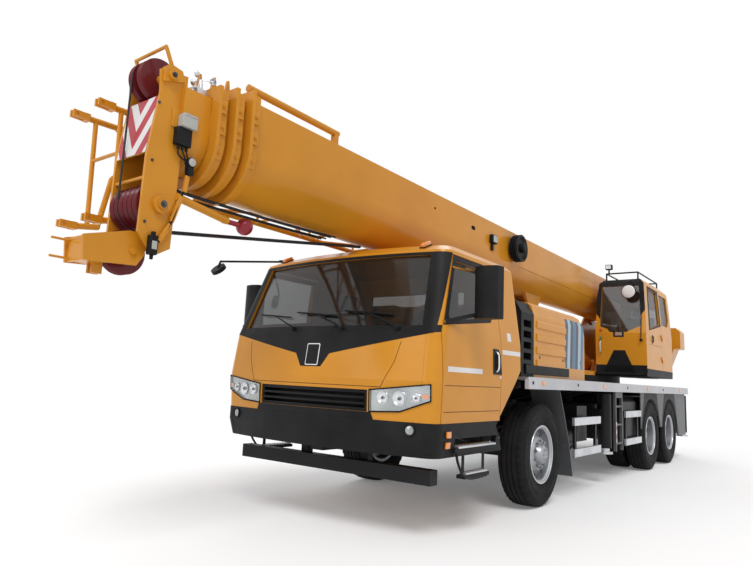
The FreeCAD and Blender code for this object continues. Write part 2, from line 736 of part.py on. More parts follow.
def chassis_frame():
    low, high, drop = S.rail_low_z, S.rail_high_z, S.rail_drop
    inner = S.rail_y - S.rail_thick
    step = S.vent_front_x
    rail = slab("xz", [
        (S.frame_rear_x, low), (step, low), (step + 220, low - drop), (S.frame_front_x, low - drop),
        (S.frame_front_x, high - drop), (step + 240, high - drop), (step + 60, high),
        (S.frame_rear_x, high),
    ], inner, S.rail_y)
    parts = [rail, mirrored(rail)]
    for x in FRONT_CROSSMEMBERS_X:
        parts.append(rod("y", (x, -inner - 5, low + 50), 45, 2 * inner + 10))
    parts.append(box((S.frame_front_x - 60, -S.rail_y, low - drop),
                     (S.frame_front_x, S.rail_y, high - drop)))
    parts.append(box((S.frame_rear_x, -S.girder_half, high - 5),
                     (S.girder_front_x, S.girder_half, S.girder_top_z)))
    parts.append(rod("z", (S.slew_x, 0, S.girder_top_z - 5), S.ring_radius,
                     S.ring_top_z - S.girder_top_z + 5))
    for x in (S.front_rig_x, S.rear_rig_x):
        parts.append(box((x - S.rig_half, -S.rig_half_width, S.rig_low_z),
                         (x + S.rig_half, S.rig_half_width, S.rig_high_z)))
    # Spring hangers
    near, far = S.rail_y - 5, S.spring_y + S.spring_wide / 2
    eye_z = S.beam_high_z + SPRING_SAG + S.spring_thick + S.seat
    for x in (S.front_axle_x - S.spring_reach + 35, S.front_axle_x + S.spring_reach - 35):
        hanger = box((x - 35, near, eye_z), (x + 35, far, low + 120))
        parts += [hanger, mirrored(hanger)]
    saddle_x = (S.mid_axle_x + S.rear_axle_x) / 2
    saddle_z = S.tyre_radius + S.axle_tube_radius + 60 + S.spring_thick + S.seat
    saddle = box((saddle_x - 110, near, saddle_z), (saddle_x + 110, far, low + 120))
    parts += [saddle, mirrored(saddle)]
    # Mounts of the carrier cab
    for x in CAB_MOUNTS_X:
        mount = box((x - 40, inner, high - drop - 5), (x + 40, S.rail_y, S.cab_low_z - S.seat))
        parts += [mount, mirrored(mount)]
    # Gussets that carry the deck
    for x in DECK_BRACKETS_X:
        gusset = slab("yz", [
            (inner + 15, high - 4), (S.rail_y, high - 4), (S.deck_bracket_y, S.deck_low_z - 80),
            (S.deck_bracket_y, S.deck_low_z - S.seat), (inner + 15, S.deck_low_z - S.seat),
        ], x - 30, x + 30)
        parts += [gusset, mirrored(gusset)]
    # Underrun bar and its hangers
    bar_x = S.frame_front_x - 40
    parts.append(box((bar_x, -S.underrun_half, S.underrun_low_z),
                     (bar_x + 110, S.underrun_half, S.underrun_high_z)))
    hanger = box((bar_x - 70, inner, S.underrun_low_z + 20), (bar_x + 5, S.rail_y, low - drop + 5))
    parts += [hanger, mirrored(hanger)]
    # Towing eyes
    parts.append(box((S.frame_front_x - 10, -70, low - drop),
                     (S.frame_front_x + 190, 70, low - drop + S.tow_eye_thick)))
    rear = S.rear_rig_x - S.rig_half
    parts.append(box((rear - 130, -70, low + 60), (rear + 5, 70, low + 60 + S.tow_eye_thick)))
    holes = [
        rod("z", (S.frame_front_x + 130, 0, low - drop - 5), S.tow_eye_radius, S.tow_eye_thick + 10),
        rod("z", (rear - 70, 0, low + 55), S.tow_eye_radius, S.tow_eye_thick + 10),
    ]
    pads = []
    for name, x, order, side in OUTRIGGERS:
        hole, blocks = rig_sleeve(x + order * S.rig_pitch / 2)
        holes.append(hole)
        pads += blocks
    node("chassis_frame", fuse(cut(fuse(*parts), *holes), *pads))


def outriggers():
    """Beams that slide out of the housings, each with a jack whose foot drops to the ground."""
    wide, high = S.rig_beam_wide / 2, S.rig_beam_high / 2
    for name, rig_x, order, side in OUTRIGGERS:
        x = rig_x + order * S.rig_pitch / 2
        beam = fuse(
            box((x - wide, S.rig_beam_inner_y, RIG_MIDDLE_Z - high),
                (x + wide, S.jack_y, RIG_MIDDLE_Z + high)),
            rod("z", (x, S.jack_y, S.jack_low_z), S.jack_tube_radius, S.jack_high_z - S.jack_low_z),
        )
        bore_top = S.jack_high_z - 30
        beam = cut(beam, rod("z", (x, S.jack_y, S.jack_low_z - 1), S.jack_bore_radius,
                             bore_top - S.jack_low_z + 1))
        guide = cut(
            rod("z", (x, S.jack_y, S.jack_low_z), S.jack_bore_radius + 2, 60),
            rod("z", (x, S.jack_y, S.jack_low_z - 1), S.jack_rod_radius + S.seat, 62),
        )
        beam = fuse(beam, guide)
        jack = fuse(
            rod("z", (x, S.jack_y, S.pad_low_z + 20), S.jack_rod_radius, bore_top - 20 - S.pad_low_z - 20),
            rod("z", (x, S.jack_y, S.pad_low_z), S.pad_radius, 30),
        )
        if side < 0:
            beam, jack = mirrored(beam), mirrored(jack)
        node("rig_beam_" + name, beam)
        node("jack_" + name, jack)


def deck():
    inner = S.half_width - S.edge_thick
    top = S.deck_low_z + S.deck_thick
    plate = box((S.deck_rear_x, -inner - 2, S.deck_low_z), (S.deck_front_x, inner + 2, top))
    edge = box((S.deck_rear_x, inner, S.edge_low_z), (S.deck_front_x, S.half_width, top))
    ring_hole = rod("z", (S.slew_x, 0, S.deck_low_z - 5), S.ring_radius + S.gap, S.deck_thick + 10)
    well = box((S.engine_rear_x - 60, -S.engine_half - 120, S.deck_low_z - 5),
               (S.engine_front_x + 60, S.engine_half + 120, top + 5))
    node("deck", cut(fuse(plate, edge, mirrored(edge)), ring_hole, well))


def engine():
    low = S.rail_high_z - 230
    inner = S.rail_y - S.rail_thick
    block = box((S.engine_rear_x, -S.engine_half, low), (S.engine_front_x, S.engine_half, S.engine_high_z))
    feet = []
    for x in (S.engine_rear_x + 70, S.engine_front_x - 170):
        foot = box((x, S.engine_half - 5, S.rail_high_z + S.seat),
                   (x + 100, inner + 60, S.rail_high_z + 60))
        feet += [foot, mirrored(foot)]
    node("engine_block", fuse(block, *feet))


HOOD_RIBS = 4


def hood_form(inset):
    """The hood's outside, or the space in it when inset is its wall."""
    base = S.deck_low_z + S.deck_thick + S.seat
    low = base if number(inset) == 0 else base - 10
    half = S.hood_half - inset
    top = S.hood_top_z - inset
    rear = S.hood_rear_x + inset
    front = S.hood_front_x - inset
    across = slab("yz", [
        (-half, low), (half, low), (half, top - 150), (half - 30, top - 40), (half - 90, top),
        (-half + 90, top), (-half + 30, top - 40), (-half, top - 150),
    ], rear, front)
    along = slab("xz", [
        (rear, low), (front, low), (front, top), (rear + 150, top), (rear + 25, top - 190),
        (rear, top - 260),
    ], -half, half)
    return common(across, along)


def engine_hood():
    """Hollow hood that is open underneath, with pressed ribs along both sides."""
    shell = cut(hood_form(0), hood_form(S.hood_wall))
    ribs = []
    base = S.deck_low_z + S.deck_thick + 110
    pitch = (S.hood_top_z - 150 - base) / HOOD_RIBS
    for k in range(HOOD_RIBS):
        low = base + k * pitch
        rib = slab("yz", [
            (S.hood_half - 5, low), (S.hood_half + 12, low + 14),
            (S.hood_half + 12, low + pitch - 60), (S.hood_half - 5, low + pitch - 40),
        ], S.hood_rear_x + 660, S.hood_front_x - 70)
        ribs += [rib, mirrored(rib)]
    node("engine_hood", fuse(shell, *ribs))


LOUVRES = 5


def radiator_housing():
    """Black air intakes on both sides in front of the hood, with slanted louvres."""
    base = S.deck_low_z + S.deck_thick + S.seat
    rear = S.hood_front_x + S.seat
    block = slab("yz", [
        (S.vent_inner_y, base), (S.hood_half, base), (S.hood_half, S.hood_top_z - 140),
        (S.hood_half - 70, S.hood_top_z - 20), (S.vent_inner_y, S.hood_top_z - 20),
    ], rear, S.vent_front_x)
    pitch = (S.hood_top_z - 240 - base) / LOUVRES
    slots = []
    for k in range(LOUVRES):
        low = base + 60 + k * pitch
        slots.append(slab("yz", [
            (S.hood_half - 120, low + 50), (S.hood_half + 5, low),
            (S.hood_half + 5, low + pitch - 40), (S.hood_half - 120, low + pitch + 10),
        ], rear + 70, S.vent_front_x - 60))
    left = cut(block, *slots)
    node("radiator_housing", left, mirrored(left))


def hook_block():
    """Main hook block, standing in its cradle behind the cab."""
    x = S.hood_front_x + 215
    floor = S.deck_low_z + S.deck_thick + S.seat
    axis_z = floor + 640
    cheek = slab("xz", [
        (x - 130, axis_z - 250), (x + 130, axis_z - 250), (x + 165, axis_z, 190),
        (x - 165, axis_z),
    ], 118, 136)
    parts = [cheek, mirrored(cheek), rod("y", (x, -150, axis_z), 34, 300)]
    sheaves = []
    for k in (-1, 0, 1):
        sheaves.append(turned("y", [
            (30, -28), (158, -28), (138, 0), (158, 28), (30, 28),
        ], (x, 74 * k, axis_z)))
    trunnion = box((x - 60, -136, axis_z - 250), (x + 60, 136, axis_z - 205))
    shank = rod("z", (x, 0, axis_z - 330), 42, 130)
    ring_z = axis_z - 420
    hook_radius = 128
    hook = cut(rod("y", (x, -42, ring_z), hook_radius, 84), rod("y", (x, -50, ring_z), 62, 100),
               box((x + 20, -60, ring_z + 8), (x + 150, 60, ring_z + 62)))
    cradle = cut(
        box((x - 150, -150, floor), (x + 150, 150, floor + 150)),
        box((x - 115, -46, ring_z - hook_radius - S.seat), (x + 115, 46, floor + 160)),
    )
    post = box((x - 150, 136 + S.seat, floor), (x + 150, 150, axis_z - 150))
    node("hook_block", fuse(*parts, *sheaves, trunnion, shank, hook), fuse(cradle, post, mirrored(post)))


def strip(points, thick):
    """An open line of straight runs made into a closed outline of one thickness."""
    back = [(x + thick, z) for x, z in points[::-1]]
    return list(points) + back


def mudguards():
    front_top = S.front_axle_x - 325
    low = S.deck_low_z - S.seat
    flap = slab("xz", strip([
        (front_top, low), (front_top - 200, low - 390), (front_top - 335, low - 690),
        (front_top - 440, low - 1060),
    ], 14), S.front_wheel_y - 160, S.half_width - 45)
    # Rear arches over both axles, closed on the outside by a valance that is cut out round the tyres
    clear = S.tyre_radius + 45
    plate_y = S.half_width - 50
    top = S.edge_low_z - S.seat
    rear_end = S.rear_rig_x + S.rig_half + 12
    front_end = S.mid_axle_x + clear + 55
    between = (S.mid_axle_x + S.rear_axle_x) / 2
    valance = slab("xz", [
        (rear_end, 450), (S.rear_axle_x - clear + 90, 450), (S.rear_axle_x, S.tyre_radius + 200),
        (between, S.tyre_radius + 110), (S.mid_axle_x, S.tyre_radius + 200),
        (front_end - 60, S.tyre_radius + 130), (front_end, S.tyre_radius + 130), (front_end, top),
        (rear_end, top),
    ], plate_y, plate_y + 12)
    shelf = box((rear_end, S.rear_wheel_y - S.twin_pitch - 120, top - 10), (front_end, plate_y + 6, top))
    back = box((rear_end, S.rear_wheel_y - S.twin_pitch - 120, 450), (rear_end + 10, plate_y + 6, top))
    holes = []
    arches = []
    for x in (S.mid_axle_x, S.rear_axle_x):
        holes.append(rod("y", (x, plate_y - 20, S.tyre_radius), clear, 60))
        start = S.rear_wheel_y - S.twin_pitch - 120
        ring = cut(rod("y", (x, start, S.tyre_radius), clear + 12, plate_y + 6 - start),
                   rod("y", (x, start - 5, S.tyre_radius), clear, plate_y + 20 - start))
        arches.append(common(ring, box((x - 500, start - 5, S.tyre_radius + 300),
                                       (x + 500, plate_y + 20, S.tyre_radius + 700))))
    rear = fuse(cut(valance, *holes), shelf, back, *arches)
    hanger = box((between - 60, S.girder_half + S.seat, top - 60), (between + 60, plate_y - 100, top - 9))
    rear = fuse(rear, hanger)
    node("mudguards", flap, mirrored(flap), rear, mirrored(rear))


# Side guards: rear end, front end, height of the lower and of the upper rail, and what their arms stand on
GUARDS = [
    (-120, 850, 457, 815, S.rail_y),
    (-2120, -1280, 470, 860, S.half_width - 95),
]


def ladder(x):
    outer = S.half_width - 26
    inner = S.half_width - 62
    parts = [box((x + k * 300, inner, 420), (x + k * 300 + 36, outer, S.edge_low_z - 5)) for k in (0, 1)]
    for k in range(3):
        parts.append(rod("x", (x + 20, S.half_width - 44, 520 + 250 * k), 16, 300))
    parts.append(box((x, inner, S.edge_low_z - 80), (x + 336, outer, S.edge_low_z - S.seat)))
    return fuse(*parts)


def side_guards():
    parts = []
    for rear, front, low, high, stand in GUARDS:
        rails = [box((rear, S.half_width - 55, z), (front, S.half_width - 25, z + 90)) for z in (low, high)]
        for x in (rear + 90, front - 130):
            rails.append(box((x, S.half_width - 85, low + 5), (x + 40, S.half_width - 50, high + 85)))
            rails.append(box((x, stand + S.seat, high + 10), (x + 40, S.half_width - 60, high + 50)))
        left = fuse(*rails)
        parts += [left, mirrored(left)]
    # A ladder on each side, next to the front jack
    ladders = [mirrored(ladder(S.front_rig_x + 4)), ladder(S.front_rig_x - 340)]
    node("side_guards", *parts, *ladders)


def tanks():
    """Fuel tank, tool box, batteries and air reservoirs that hang from the frame."""
    inner = S.rail_y + 60
    outer = S.half_width - 95
    hang = S.rail_y + S.seat
    tank = slab("yz", [
        (inner, 520), (outer - 60, 520), (outer, 580), (outer, 1080), (outer - 60, 1140), (inner, 1140),
    ], -2080, -1330)
    arms = [box((start, hang, 900), (start + 60, inner + 5, 1000)) for start in (-2000, -1480)]
    left = fuse(tank, *arms)
    battery = fuse(
        box((40, inner, 600), (400, outer - 60, 1030)),
        box((100, hang, 850), (200, inner + 5, 950)),
    )
    reservoir = fuse(
        rod("x", (430, 720, 800), 130, 270),
        box((640, hang, 770), (700, 640, 830)),
    )
    lower = fuse(
        rod("x", (470, 1010, 640), 110, 330),
        box((560, 700, 620), (640, 940, 680)),
        rod("x", (500, 720, 640), 34, 200),
        box((580, 700, 640), (620, 740, 700)),
    )
    node("tanks", left, mirrored(left), battery, mirrored(battery), fuse(reservoir, lower),
         mirrored(fuse(reservoir, lower)))


# Carrier cab

def plan_section(z, rear, front, half, bulge, corner):
    """A level cut through the cab: straight back and sides, round corners and a bowed front."""
    inner = half - corner
    return sketch("xy", [
        (rear, -half),
        (front - bulge - corner, -half, corner * 1.001),
        (front - bulge, -inner, (square(inner) + square(bulge)) / (2 * bulge)),
        (front - bulge, inner, corner * 1.001),
        (front - bulge - corner, half),
        (rear, half),
    ], (0, 0, z))


def cab_sections():
    """Height, middle of the front and half width of each level cut from the floor to the roof."""
    return [
        (S.cab_low_z, S.cab_front_low_x, S.cab_half_low),
        (S.cab_nose_z, S.cab_front_nose_x, S.cab_half_nose),
        (S.cab_waist_z, S.cab_front_waist_x, S.cab_half_waist),
        (S.cab_brow_z, S.cab_front_brow_x, S.cab_half_brow),
        (S.cab_roof_z, S.cab_front_roof_x, S.cab_half_roof),
    ]


def cab_form(inset):
    """The cab's outside, or the same form set in by a wall or out by a negative inset."""
    levels = []
    last = len(cab_sections()) - 1
    for k, (z, front, half) in enumerate(cab_sections()):
        lift = inset if k == 0 else -inset if k == last else 0
        levels.append(plan_section(z + lift, S.cab_rear_x + inset, front - inset, half - inset,
                                   S.cab_bulge, S.cab_corner))
    return loft(levels)


def cab_layer(outside, inside):
    return cut(cab_form(outside), cab_form(inside))


def arch_cutter(inset, low_z):
    """Fills the space behind the slanted edge of the wheel arch."""
    return slab("xz", [
        (S.cab_rear_x - 100, low_z), (S.skirt_rear_x + inset, low_z),
        (S.skirt_rear_x + inset, S.skirt_low_z),
        (S.arch_low_x + inset, S.arch_low_z), (S.arch_top_x + inset, S.arch_top_z + inset),
        (S.cab_rear_x - 100, S.arch_top_z + inset),
    ], -S.half_width - 100, S.half_width + 100)


def door_outline(inset):
    """Side view of a door, set in by a gap."""
    return [
        (S.door_rear_x + inset, S.cab_low_z - 30 + inset),
        (S.door_front_x - inset, S.cab_low_z - 30 + inset),
        (S.door_front_x - inset, S.cab_waist_z),
        (S.door_front_x - S.door_lean - inset, S.door_top_z - inset),
        (S.door_rear_x + inset, S.door_top_z - inset),
    ]


def window_outline(inset):
    front = S.door_front_x - 90 + inset
    rear = S.door_rear_x + 80 - inset
    return [
        (rear, S.window_low_z + S.window_rise - inset), (front, S.window_low_z - inset),
        (front - 235, S.window_high_z + inset), (rear + 10, S.window_high_z + inset),
    ]


def side_prism(outline):
    """A side view's outline as a block that reaches from the cab's middle to beyond its left side."""
    return slab("xz", outline, S.cab_half_roof - 200, S.half_width + 100)


def door_prism(inset):
    """A door's outline through the side wall, set in by a gap; the floor inside it stays with the cab."""
    floor_edge = S.cab_half_low - S.cab_wall - S.door_gap + inset
    floor = box((S.cab_rear_x, 0, S.cab_low_z - 100),
                (S.cab_front_nose_x, floor_edge, S.cab_low_z + S.cab_wall))
    return cut(side_prism(door_outline(inset)), floor)


def screen_prism(inset):
    low, high = S.screen_half_low - inset, S.screen_half_high - inset
    return slab("yz", [
        (-low, S.screen_low_z + inset), (low, S.screen_low_z + inset),
        (high, S.screen_high_z - inset), (-high, S.screen_high_z - inset),
    ], S.cab_front_roof_x - 250, S.cab_front_nose_x + 100)


def rear_window_prism(inset):
    return box((S.cab_rear_x - 50, -620 + inset, 1780 + inset),
               (S.cab_rear_x + 150, 620 - inset, 2200 - inset))


LAMP_OUTLINE = [(650, 985), (930, 1000), (1190, 1095), (1190, 1228), (650, 1165)]
GRILLE_OUTLINE = [(-630, 985), (630, 985), (630, 1162), (-630, 1162)]


def front_prism(outline):
    return slab("yz", outline, S.door_front_x + 20, S.cab_front_nose_x + 100)


def cab_shell():
    outside = cut(cab_form(0), arch_cutter(0, S.cab_low_z - 50))
    inside = cut(cab_form(S.cab_wall), arch_cutter(S.cab_wall, S.cab_low_z - 50))
    lamp = front_prism(LAMP_OUTLINE)
    door = door_prism(0)
    holes = [screen_prism(0), rear_window_prism(0), lamp, mirrored(lamp), front_prism(GRILLE_OUTLINE),
             door, mirrored(door)]
    node("cab_shell", cut(cut(outside, inside), *holes))


def mid_wall(depth):
    """Sheet of glass in the middle of the cab's wall."""
    start = (S.cab_wall - depth) / 2
    return cab_layer(start, start + depth)


def cab_glass():
    sheet_form = mid_wall(S.glass_thick)
    screen = common(sheet_form, screen_prism(0))
    rear = common(sheet_form, rear_window_prism(0))
    node("cab_glass", screen, rear)


def door_mirror():
    """Mirror head on two arms; its reflecting face looks back along the carrier."""
    x = S.door_front_x - 430
    inner, outer = S.mirror_out_y - 235, S.mirror_out_y
    head = slab("xy", [
        (x, inner + 20), (x + 20, inner), (x + 105, inner + 12, 190), (x + 100, outer - 14),
        (x + 20, outer), (x, outer - 20),
    ], 1785, 2225)
    pocket = box((x - 1, inner + 30, 1815), (x + 8, outer - 30, 2195))
    arms = []
    for z, back, half, hold in ((1830, 50, S.cab_half_waist - 25, 1735),
                                (2180, 273, S.cab_half_brow + 8, 2240)):
        arms.append(strut((x + 60, inner + 30, z), (S.door_front_x - back, half, hold), 17))
    return cut(head, pocket), arms


def doors():
    panel_layer = cab_layer(0, S.cab_wall)
    panel = common(panel_layer, door_prism(S.door_gap))
    panel = cut(panel, side_prism(window_outline(0)))
    head, arms = door_mirror()
    left = fuse(panel, head, *arms)
    glass = common(mid_wall(S.glass_thick), side_prism(window_outline(0)))
    left_glass = glass
    node("door_left", left)
    node("door_left_glass", left_glass)
    node("door_right", mirrored(left))
    node("door_right_glass", mirrored(left_glass))


def corner_mirror():
    """Round mirror on a bent arm that stands on the roof's right front corner."""
    roof = S.cab_roof_z + S.seat
    y = -S.cab_half_roof + 30
    foot = box((3440, y - 20, roof), (3520, y + 20, roof + 24))
    bends = [(3480, y, roof + 12), (3560, y - 190, roof + 14), (4000, -1415, roof - 45),
             (4010, -1440, roof - 118)]
    arms = [strut(start, end, 11) for start, end in zip(bends, bends[1:])]
    knuckles = [ball(bend, 11.5) for bend in bends[1:3]]
    disc = strut((4012, -1440, roof - 112), (3984, -1440, roof - 140), 80)
    node("corner_mirror", fuse(foot, *arms, *knuckles, disc))


def lamp_units():
    layer = cab_layer(-5, S.cab_wall - 5)
    lamp = common(layer, front_prism(LAMP_OUTLINE))
    node("headlamps", lamp, mirrored(lamp))
    panel = common(cab_layer(10, S.cab_wall), front_prism(GRILLE_OUTLINE))
    slots = [box((S.cab_front_low_x - 300, -600, z), (S.cab_front_nose_x + 50, 600, z + 26))
             for z in (1012, 1060, 1108)]
    bars = [common(cab_layer(-2, 30), front_prism([(-600, z), (600, z), (600, z + 15), (-600, z + 15)]))
            for z in (1040, 1089)]
    node("grille", fuse(cut(panel, *slots), *bars))


def front_skirt():
    """Black bumper and skirt below the cab, with the steps under the doors."""
    top = S.cab_low_z - S.seat
    sizes = [(S.skirt_low_z, S.cab_front_low_x - 30, S.cab_half_low - 22),
             (S.cab_low_z - 120, S.cab_front_low_x + 4, S.cab_half_low + 2),
             (top, S.cab_front_low_x + 4, S.cab_half_low + 2)]

    def ring(inset, reach):
        levels = []
        for k, (z, front, half) in enumerate(sizes):
            lift = -reach if k == 0 else reach if k == 2 else 0
            levels.append(plan_section(z + lift, S.cab_rear_x, front - inset, half - inset,
                                       S.cab_bulge, S.cab_corner))
        return loft(levels)

    body = cut(ring(0, 0), ring(S.cab_wall, 20), arch_cutter(0, S.skirt_low_z - 100))
    # Recess and tread of the upper step, and the hanging lower step
    front, rear = S.door_front_x - 230, S.door_rear_x + 70
    recess = box((rear, S.cab_half_low - 90, 700), (front, S.half_width + 50, 800))
    upper = box((rear - 20, S.cab_half_low - 48, 690), (front + 20, S.cab_half_low + 18, 722))
    lower = box((rear + 150, S.cab_half_low - 70, 470), (front - 160, S.cab_half_low + 10, 500))
    hangers = [box((x, S.cab_half_low - 40, 495), (x + 34, S.cab_half_low - 30, 700)) for x in
               (rear + 170, front - 220)]
    body = cut(body, recess, mirrored(recess))
    adds = [upper, lower] + hangers
    node("front_skirt", fuse(body, *adds, *[mirrored(one) for one in adds]))


def seat_form(x, y, z):
    """Seat with cushion, back and head rest, facing forwards."""
    cushion = slab("xz", [
        (x - 240, z), (x + 230, z), (x + 260, z + 60), (x + 230, z + 125), (x - 150, z + 105),
        (x - 235, z + 660),
        (x - 330, z + 660), (x - 300, z + 60),
    ], y - 240, y + 240)
    rest = slab("xz", [
        (x - 345, z + 680), (x - 255, z + 680), (x - 262, z + 850), (x - 340, z + 850),
    ], y - 130, y + 130)
    stem = [rod("z", (x - 300, y + side * 60, z + 640), 9, 60) for side in (-1, 1)]
    return fuse(cushion, rest, *stem)


def steering_wheel(x, y, z):
    """Rim, three spokes and column on a raked axis."""
    ring = doc.addObject("Part::Torus", "Ring")
    ring.Radius1 = 205
    ring.Radius2 = 15
    place(ring, (x, y, z), Rotation(Vector(0, 1, 0), -28))
    hub = doc.addObject("Part::Cylinder", "Hub")
    hub.Radius, hub.Height = 45, 70
    place(hub, (x + 20, y, z - 45), Rotation(Vector(0, 1, 0), -28))
    spokes = []
    for turn in (90, 210, 330):
        a, b = 200 * math.cos(math.radians(turn)), 200 * math.sin(math.radians(turn))
        lean = math.radians(28)
        tip = (x + a * math.cos(lean), y + b, z + a * math.sin(lean))
        spokes.append(strut((x + 6, y, z - 10), tip, 12))
    column = strut((x + 15, y, z - 30), (x + 150, y, z - 290), 34)
    return fuse(ring, hub, column, *spokes)


def cab_interior():
    floor = S.cab_low_z + S.cab_wall + S.seat
    wall = S.cab_half_waist - S.cab_wall - 40
    dash = slab("xz", [
        (3560, 1330), (3820, 1330), (3860, 1560), (3700, 1640), (3520, 1590), (3480, 1480),
    ], -wall + 140, wall - 140)
    pedestal = slab("xz", [
        (3620, floor), (3860, floor), (3860, 1340), (3620, 1340),
    ], -wall + 220, wall - 220)
    board = fuse(dash, pedestal)
    seats = []
    for y in (640, -640):
        base = box((2960, y - 180, floor), (3260, y + 180, 1300))
        seats.append(fuse(seat_form(3130, y, 1298), base))
    wheel = steering_wheel(3400, 640, 1700)
    node("cab_interior", fuse(board, wheel), *seats)


# Superstructure

def lift_length():
    return root(square(S.lift_head_x - S.lift_foot_x) + square(S.lift_head_z - S.lift_foot_z))


def on_lift(distance):
    """Point on the lift cylinder's axis, this far from its foot pin."""
    share = distance / lift_length()
    return (S.lift_foot_x + (S.lift_head_x - S.lift_foot_x) * share, 0,
            S.lift_foot_z + (S.lift_head_z - S.lift_foot_z) * share)


def turntable():
    floor = S.table_top_z
    rear = S.weight_front_x + S.seat
    cheek = slab("xz", [
        (rear, floor - 30), (S.slew_x + 330, floor - 30), (S.slew_x + 330, floor + 60),
        (S.slew_x - 400, floor + 330), (S.pivot_x + 250, S.pivot_z + 130),
        (S.pivot_x + 90, S.pivot_z + 190),
        (S.pivot_x - 90, S.pivot_z + 190), (S.pivot_x - 200, S.pivot_z + 40),
        (S.pivot_x - 430, S.aux_winch_z + 130),
        (S.aux_winch_x - 60, S.aux_winch_z + 130), (rear, S.aux_winch_z - 40),
    ], S.cheek_y, S.cheek_y + S.cheek_thick)
    parts = [cheek, mirrored(cheek)]
    outer = S.cheek_y + S.cheek_thick
    ring_low = S.ring_top_z + S.seat
    parts.append(rod("z", (S.slew_x, 0, ring_low), S.ring_radius - 20, S.up_low_z - S.seat - ring_low))
    parts.append(box((rear, -outer, floor - 50), (S.slew_x + 330, outer, floor)))
    # Platform under the operator's cab
    platform = slab("xz", [
        (S.up_rear_x + 30, S.table_low_z), (S.up_front_x - 20, S.table_low_z),
        (S.up_front_x + 10, S.table_low_z + 20),
        (S.up_front_x + 10, S.up_low_z - S.seat), (S.up_rear_x, S.up_low_z - S.seat),
        (S.up_rear_x, S.table_low_z + 20),
    ], S.up_inner_y, S.up_outer_y)
    bracket = box((S.slew_x - 900, outer - 5, floor - 50),
                  (S.slew_x + 200, S.up_inner_y + 5, S.up_low_z - S.seat))
    parts += [platform, bracket]
    # Ears and pin of the lift cylinder's foot
    ear = slab("xz", [
        (S.lift_foot_x - 170, floor - 10), (S.lift_foot_x + 200, floor - 10),
        (S.lift_foot_x + 75, S.lift_foot_z + 90),
        (S.lift_foot_x - 75, S.lift_foot_z + 90),
    ], S.lift_barrel_radius + 8, S.lift_barrel_radius + 46)
    parts += [ear, mirrored(ear)]
    reach = S.lift_barrel_radius + 40
    parts.append(rod("y", (S.lift_foot_x, -reach, S.lift_foot_z), S.lift_pin_radius, 2 * reach))
    parts.append(rod("y", (S.pivot_x, -outer - 25, S.pivot_z), S.pivot_radius, 2 * outer + 50))
    for side in (-1, 1):
        start = outer - 5 if side > 0 else -outer - 15
        parts.append(rod("y", (S.pivot_x, start, S.pivot_z), S.pivot_radius + 50, 20))
    # Catwalk and tank on the right-hand side
    tank = slab("yz", [
        (-1180, 1500), (-outer + 2, 1500), (-outer + 2, 2080), (-1100, 2080), (-1180, 2000),
    ], -4350, -3350)
    parts.append(tank)
    step = box((-3340, -1120, 1500), (-2760, -outer + 2, 1545))
    parts.append(step)
    block = box((rear, outer - 5, floor - 60), (S.pivot_x + 240, outer + 330, floor - 20))
    parts += [block, mirrored(block)]
    node("turntable", fuse(*parts))


def counterweight():
    """Slab whose back is an arc about the slewing axis, with rounded upper edge and lifting recesses."""
    edge_x = S.slew_x - root(square(S.tail_radius) - square(S.weight_half))
    body = slab("xy", [
        (S.weight_front_x, -S.weight_half), (S.weight_front_x, S.weight_half),
        (edge_x, S.weight_half, S.tail_radius), (edge_x, -S.weight_half),
    ], S.weight_low_z, S.weight_top_z)
    trim = slab("yz", [
        (S.weight_half - 90, S.weight_top_z + 5), (S.weight_half + 10, S.weight_top_z - 95),
        (S.weight_half + 10, S.weight_top_z + 5),
    ], S.weight_front_x - 700, S.weight_front_x + 10)
    low = slab("yz", [
        (S.weight_half - 260, S.weight_low_z - 5), (S.weight_half + 10, S.weight_low_z - 5),
        (S.weight_half + 10, S.weight_low_z + 330), (S.weight_half - 120, S.weight_low_z + 330),
    ], S.weight_front_x - 700, S.weight_front_x + 10)
    holes = []
    for y in (-420, 420):
        holes.append(box((S.weight_front_x - 330, y - 70, S.weight_top_z - 120),
                         (S.weight_front_x - 230, y + 70, S.weight_top_z + 5)))
    node("counterweight", cut(body, trim, mirrored(trim), low, mirrored(low), *holes))


def winches():
    whole = []
    for x, z in ((S.main_winch_x, S.main_winch_z), (S.aux_winch_x, S.aux_winch_z)):
        half = S.cheek_y - S.seat
        parts = [
            rod("y", (x, -230, z), S.winch_core, 460),
            rod("y", (x, -half, z), 60, 2 * half),
        ]
        for y in (-252, 230):
            parts.append(rod("y", (x, y, z), S.winch_flange, 22))
        whole.append(fuse(*parts))
    node("winches", *whole)


# Operator's cab

def up_form(inset):
    """The operator's cab as what its side view and its front view have in common."""
    low, top = S.up_low_z + inset, S.up_top_z - inset
    front, rear = S.up_front_x - inset, S.up_rear_x + inset
    inner, outer = S.up_inner_y + inset, S.up_outer_y - inset
    side = slab("xz", [
        (rear, low), (front, low), (front + 20, S.up_waist_z), (front - S.up_lean + 15, top - 60),
        (front - S.up_lean - 50, top), (rear + 240, top), (rear + 60, top - 60), (rear, top - 300),
    ], S.up_inner_y - 50, S.up_outer_y + 50)
    ahead = slab("yz", [
        (inner, low), (outer, low), (outer, S.up_waist_z + 60), (outer - S.up_tumble, top - 80),
        (outer - S.up_tumble - 70, top), (inner + 90, top), (inner + 30, top - 60), (inner, top - 300),
    ], S.up_rear_x - 50, S.up_front_x + 100)
    return common(side, ahead)


def up_door_outline(inset):
    return [
        (S.up_door_rear_x + inset, S.up_low_z + 60 + inset),
        (S.up_door_front_x - inset, S.up_low_z + 60 + inset),
        (S.up_door_front_x - inset, S.up_waist_z + 60),
        (S.up_door_front_x - S.up_lean + 20 - inset, S.up_top_z - 110 - inset),
        (S.up_door_rear_x + inset, S.up_top_z - 110 - inset),
    ]


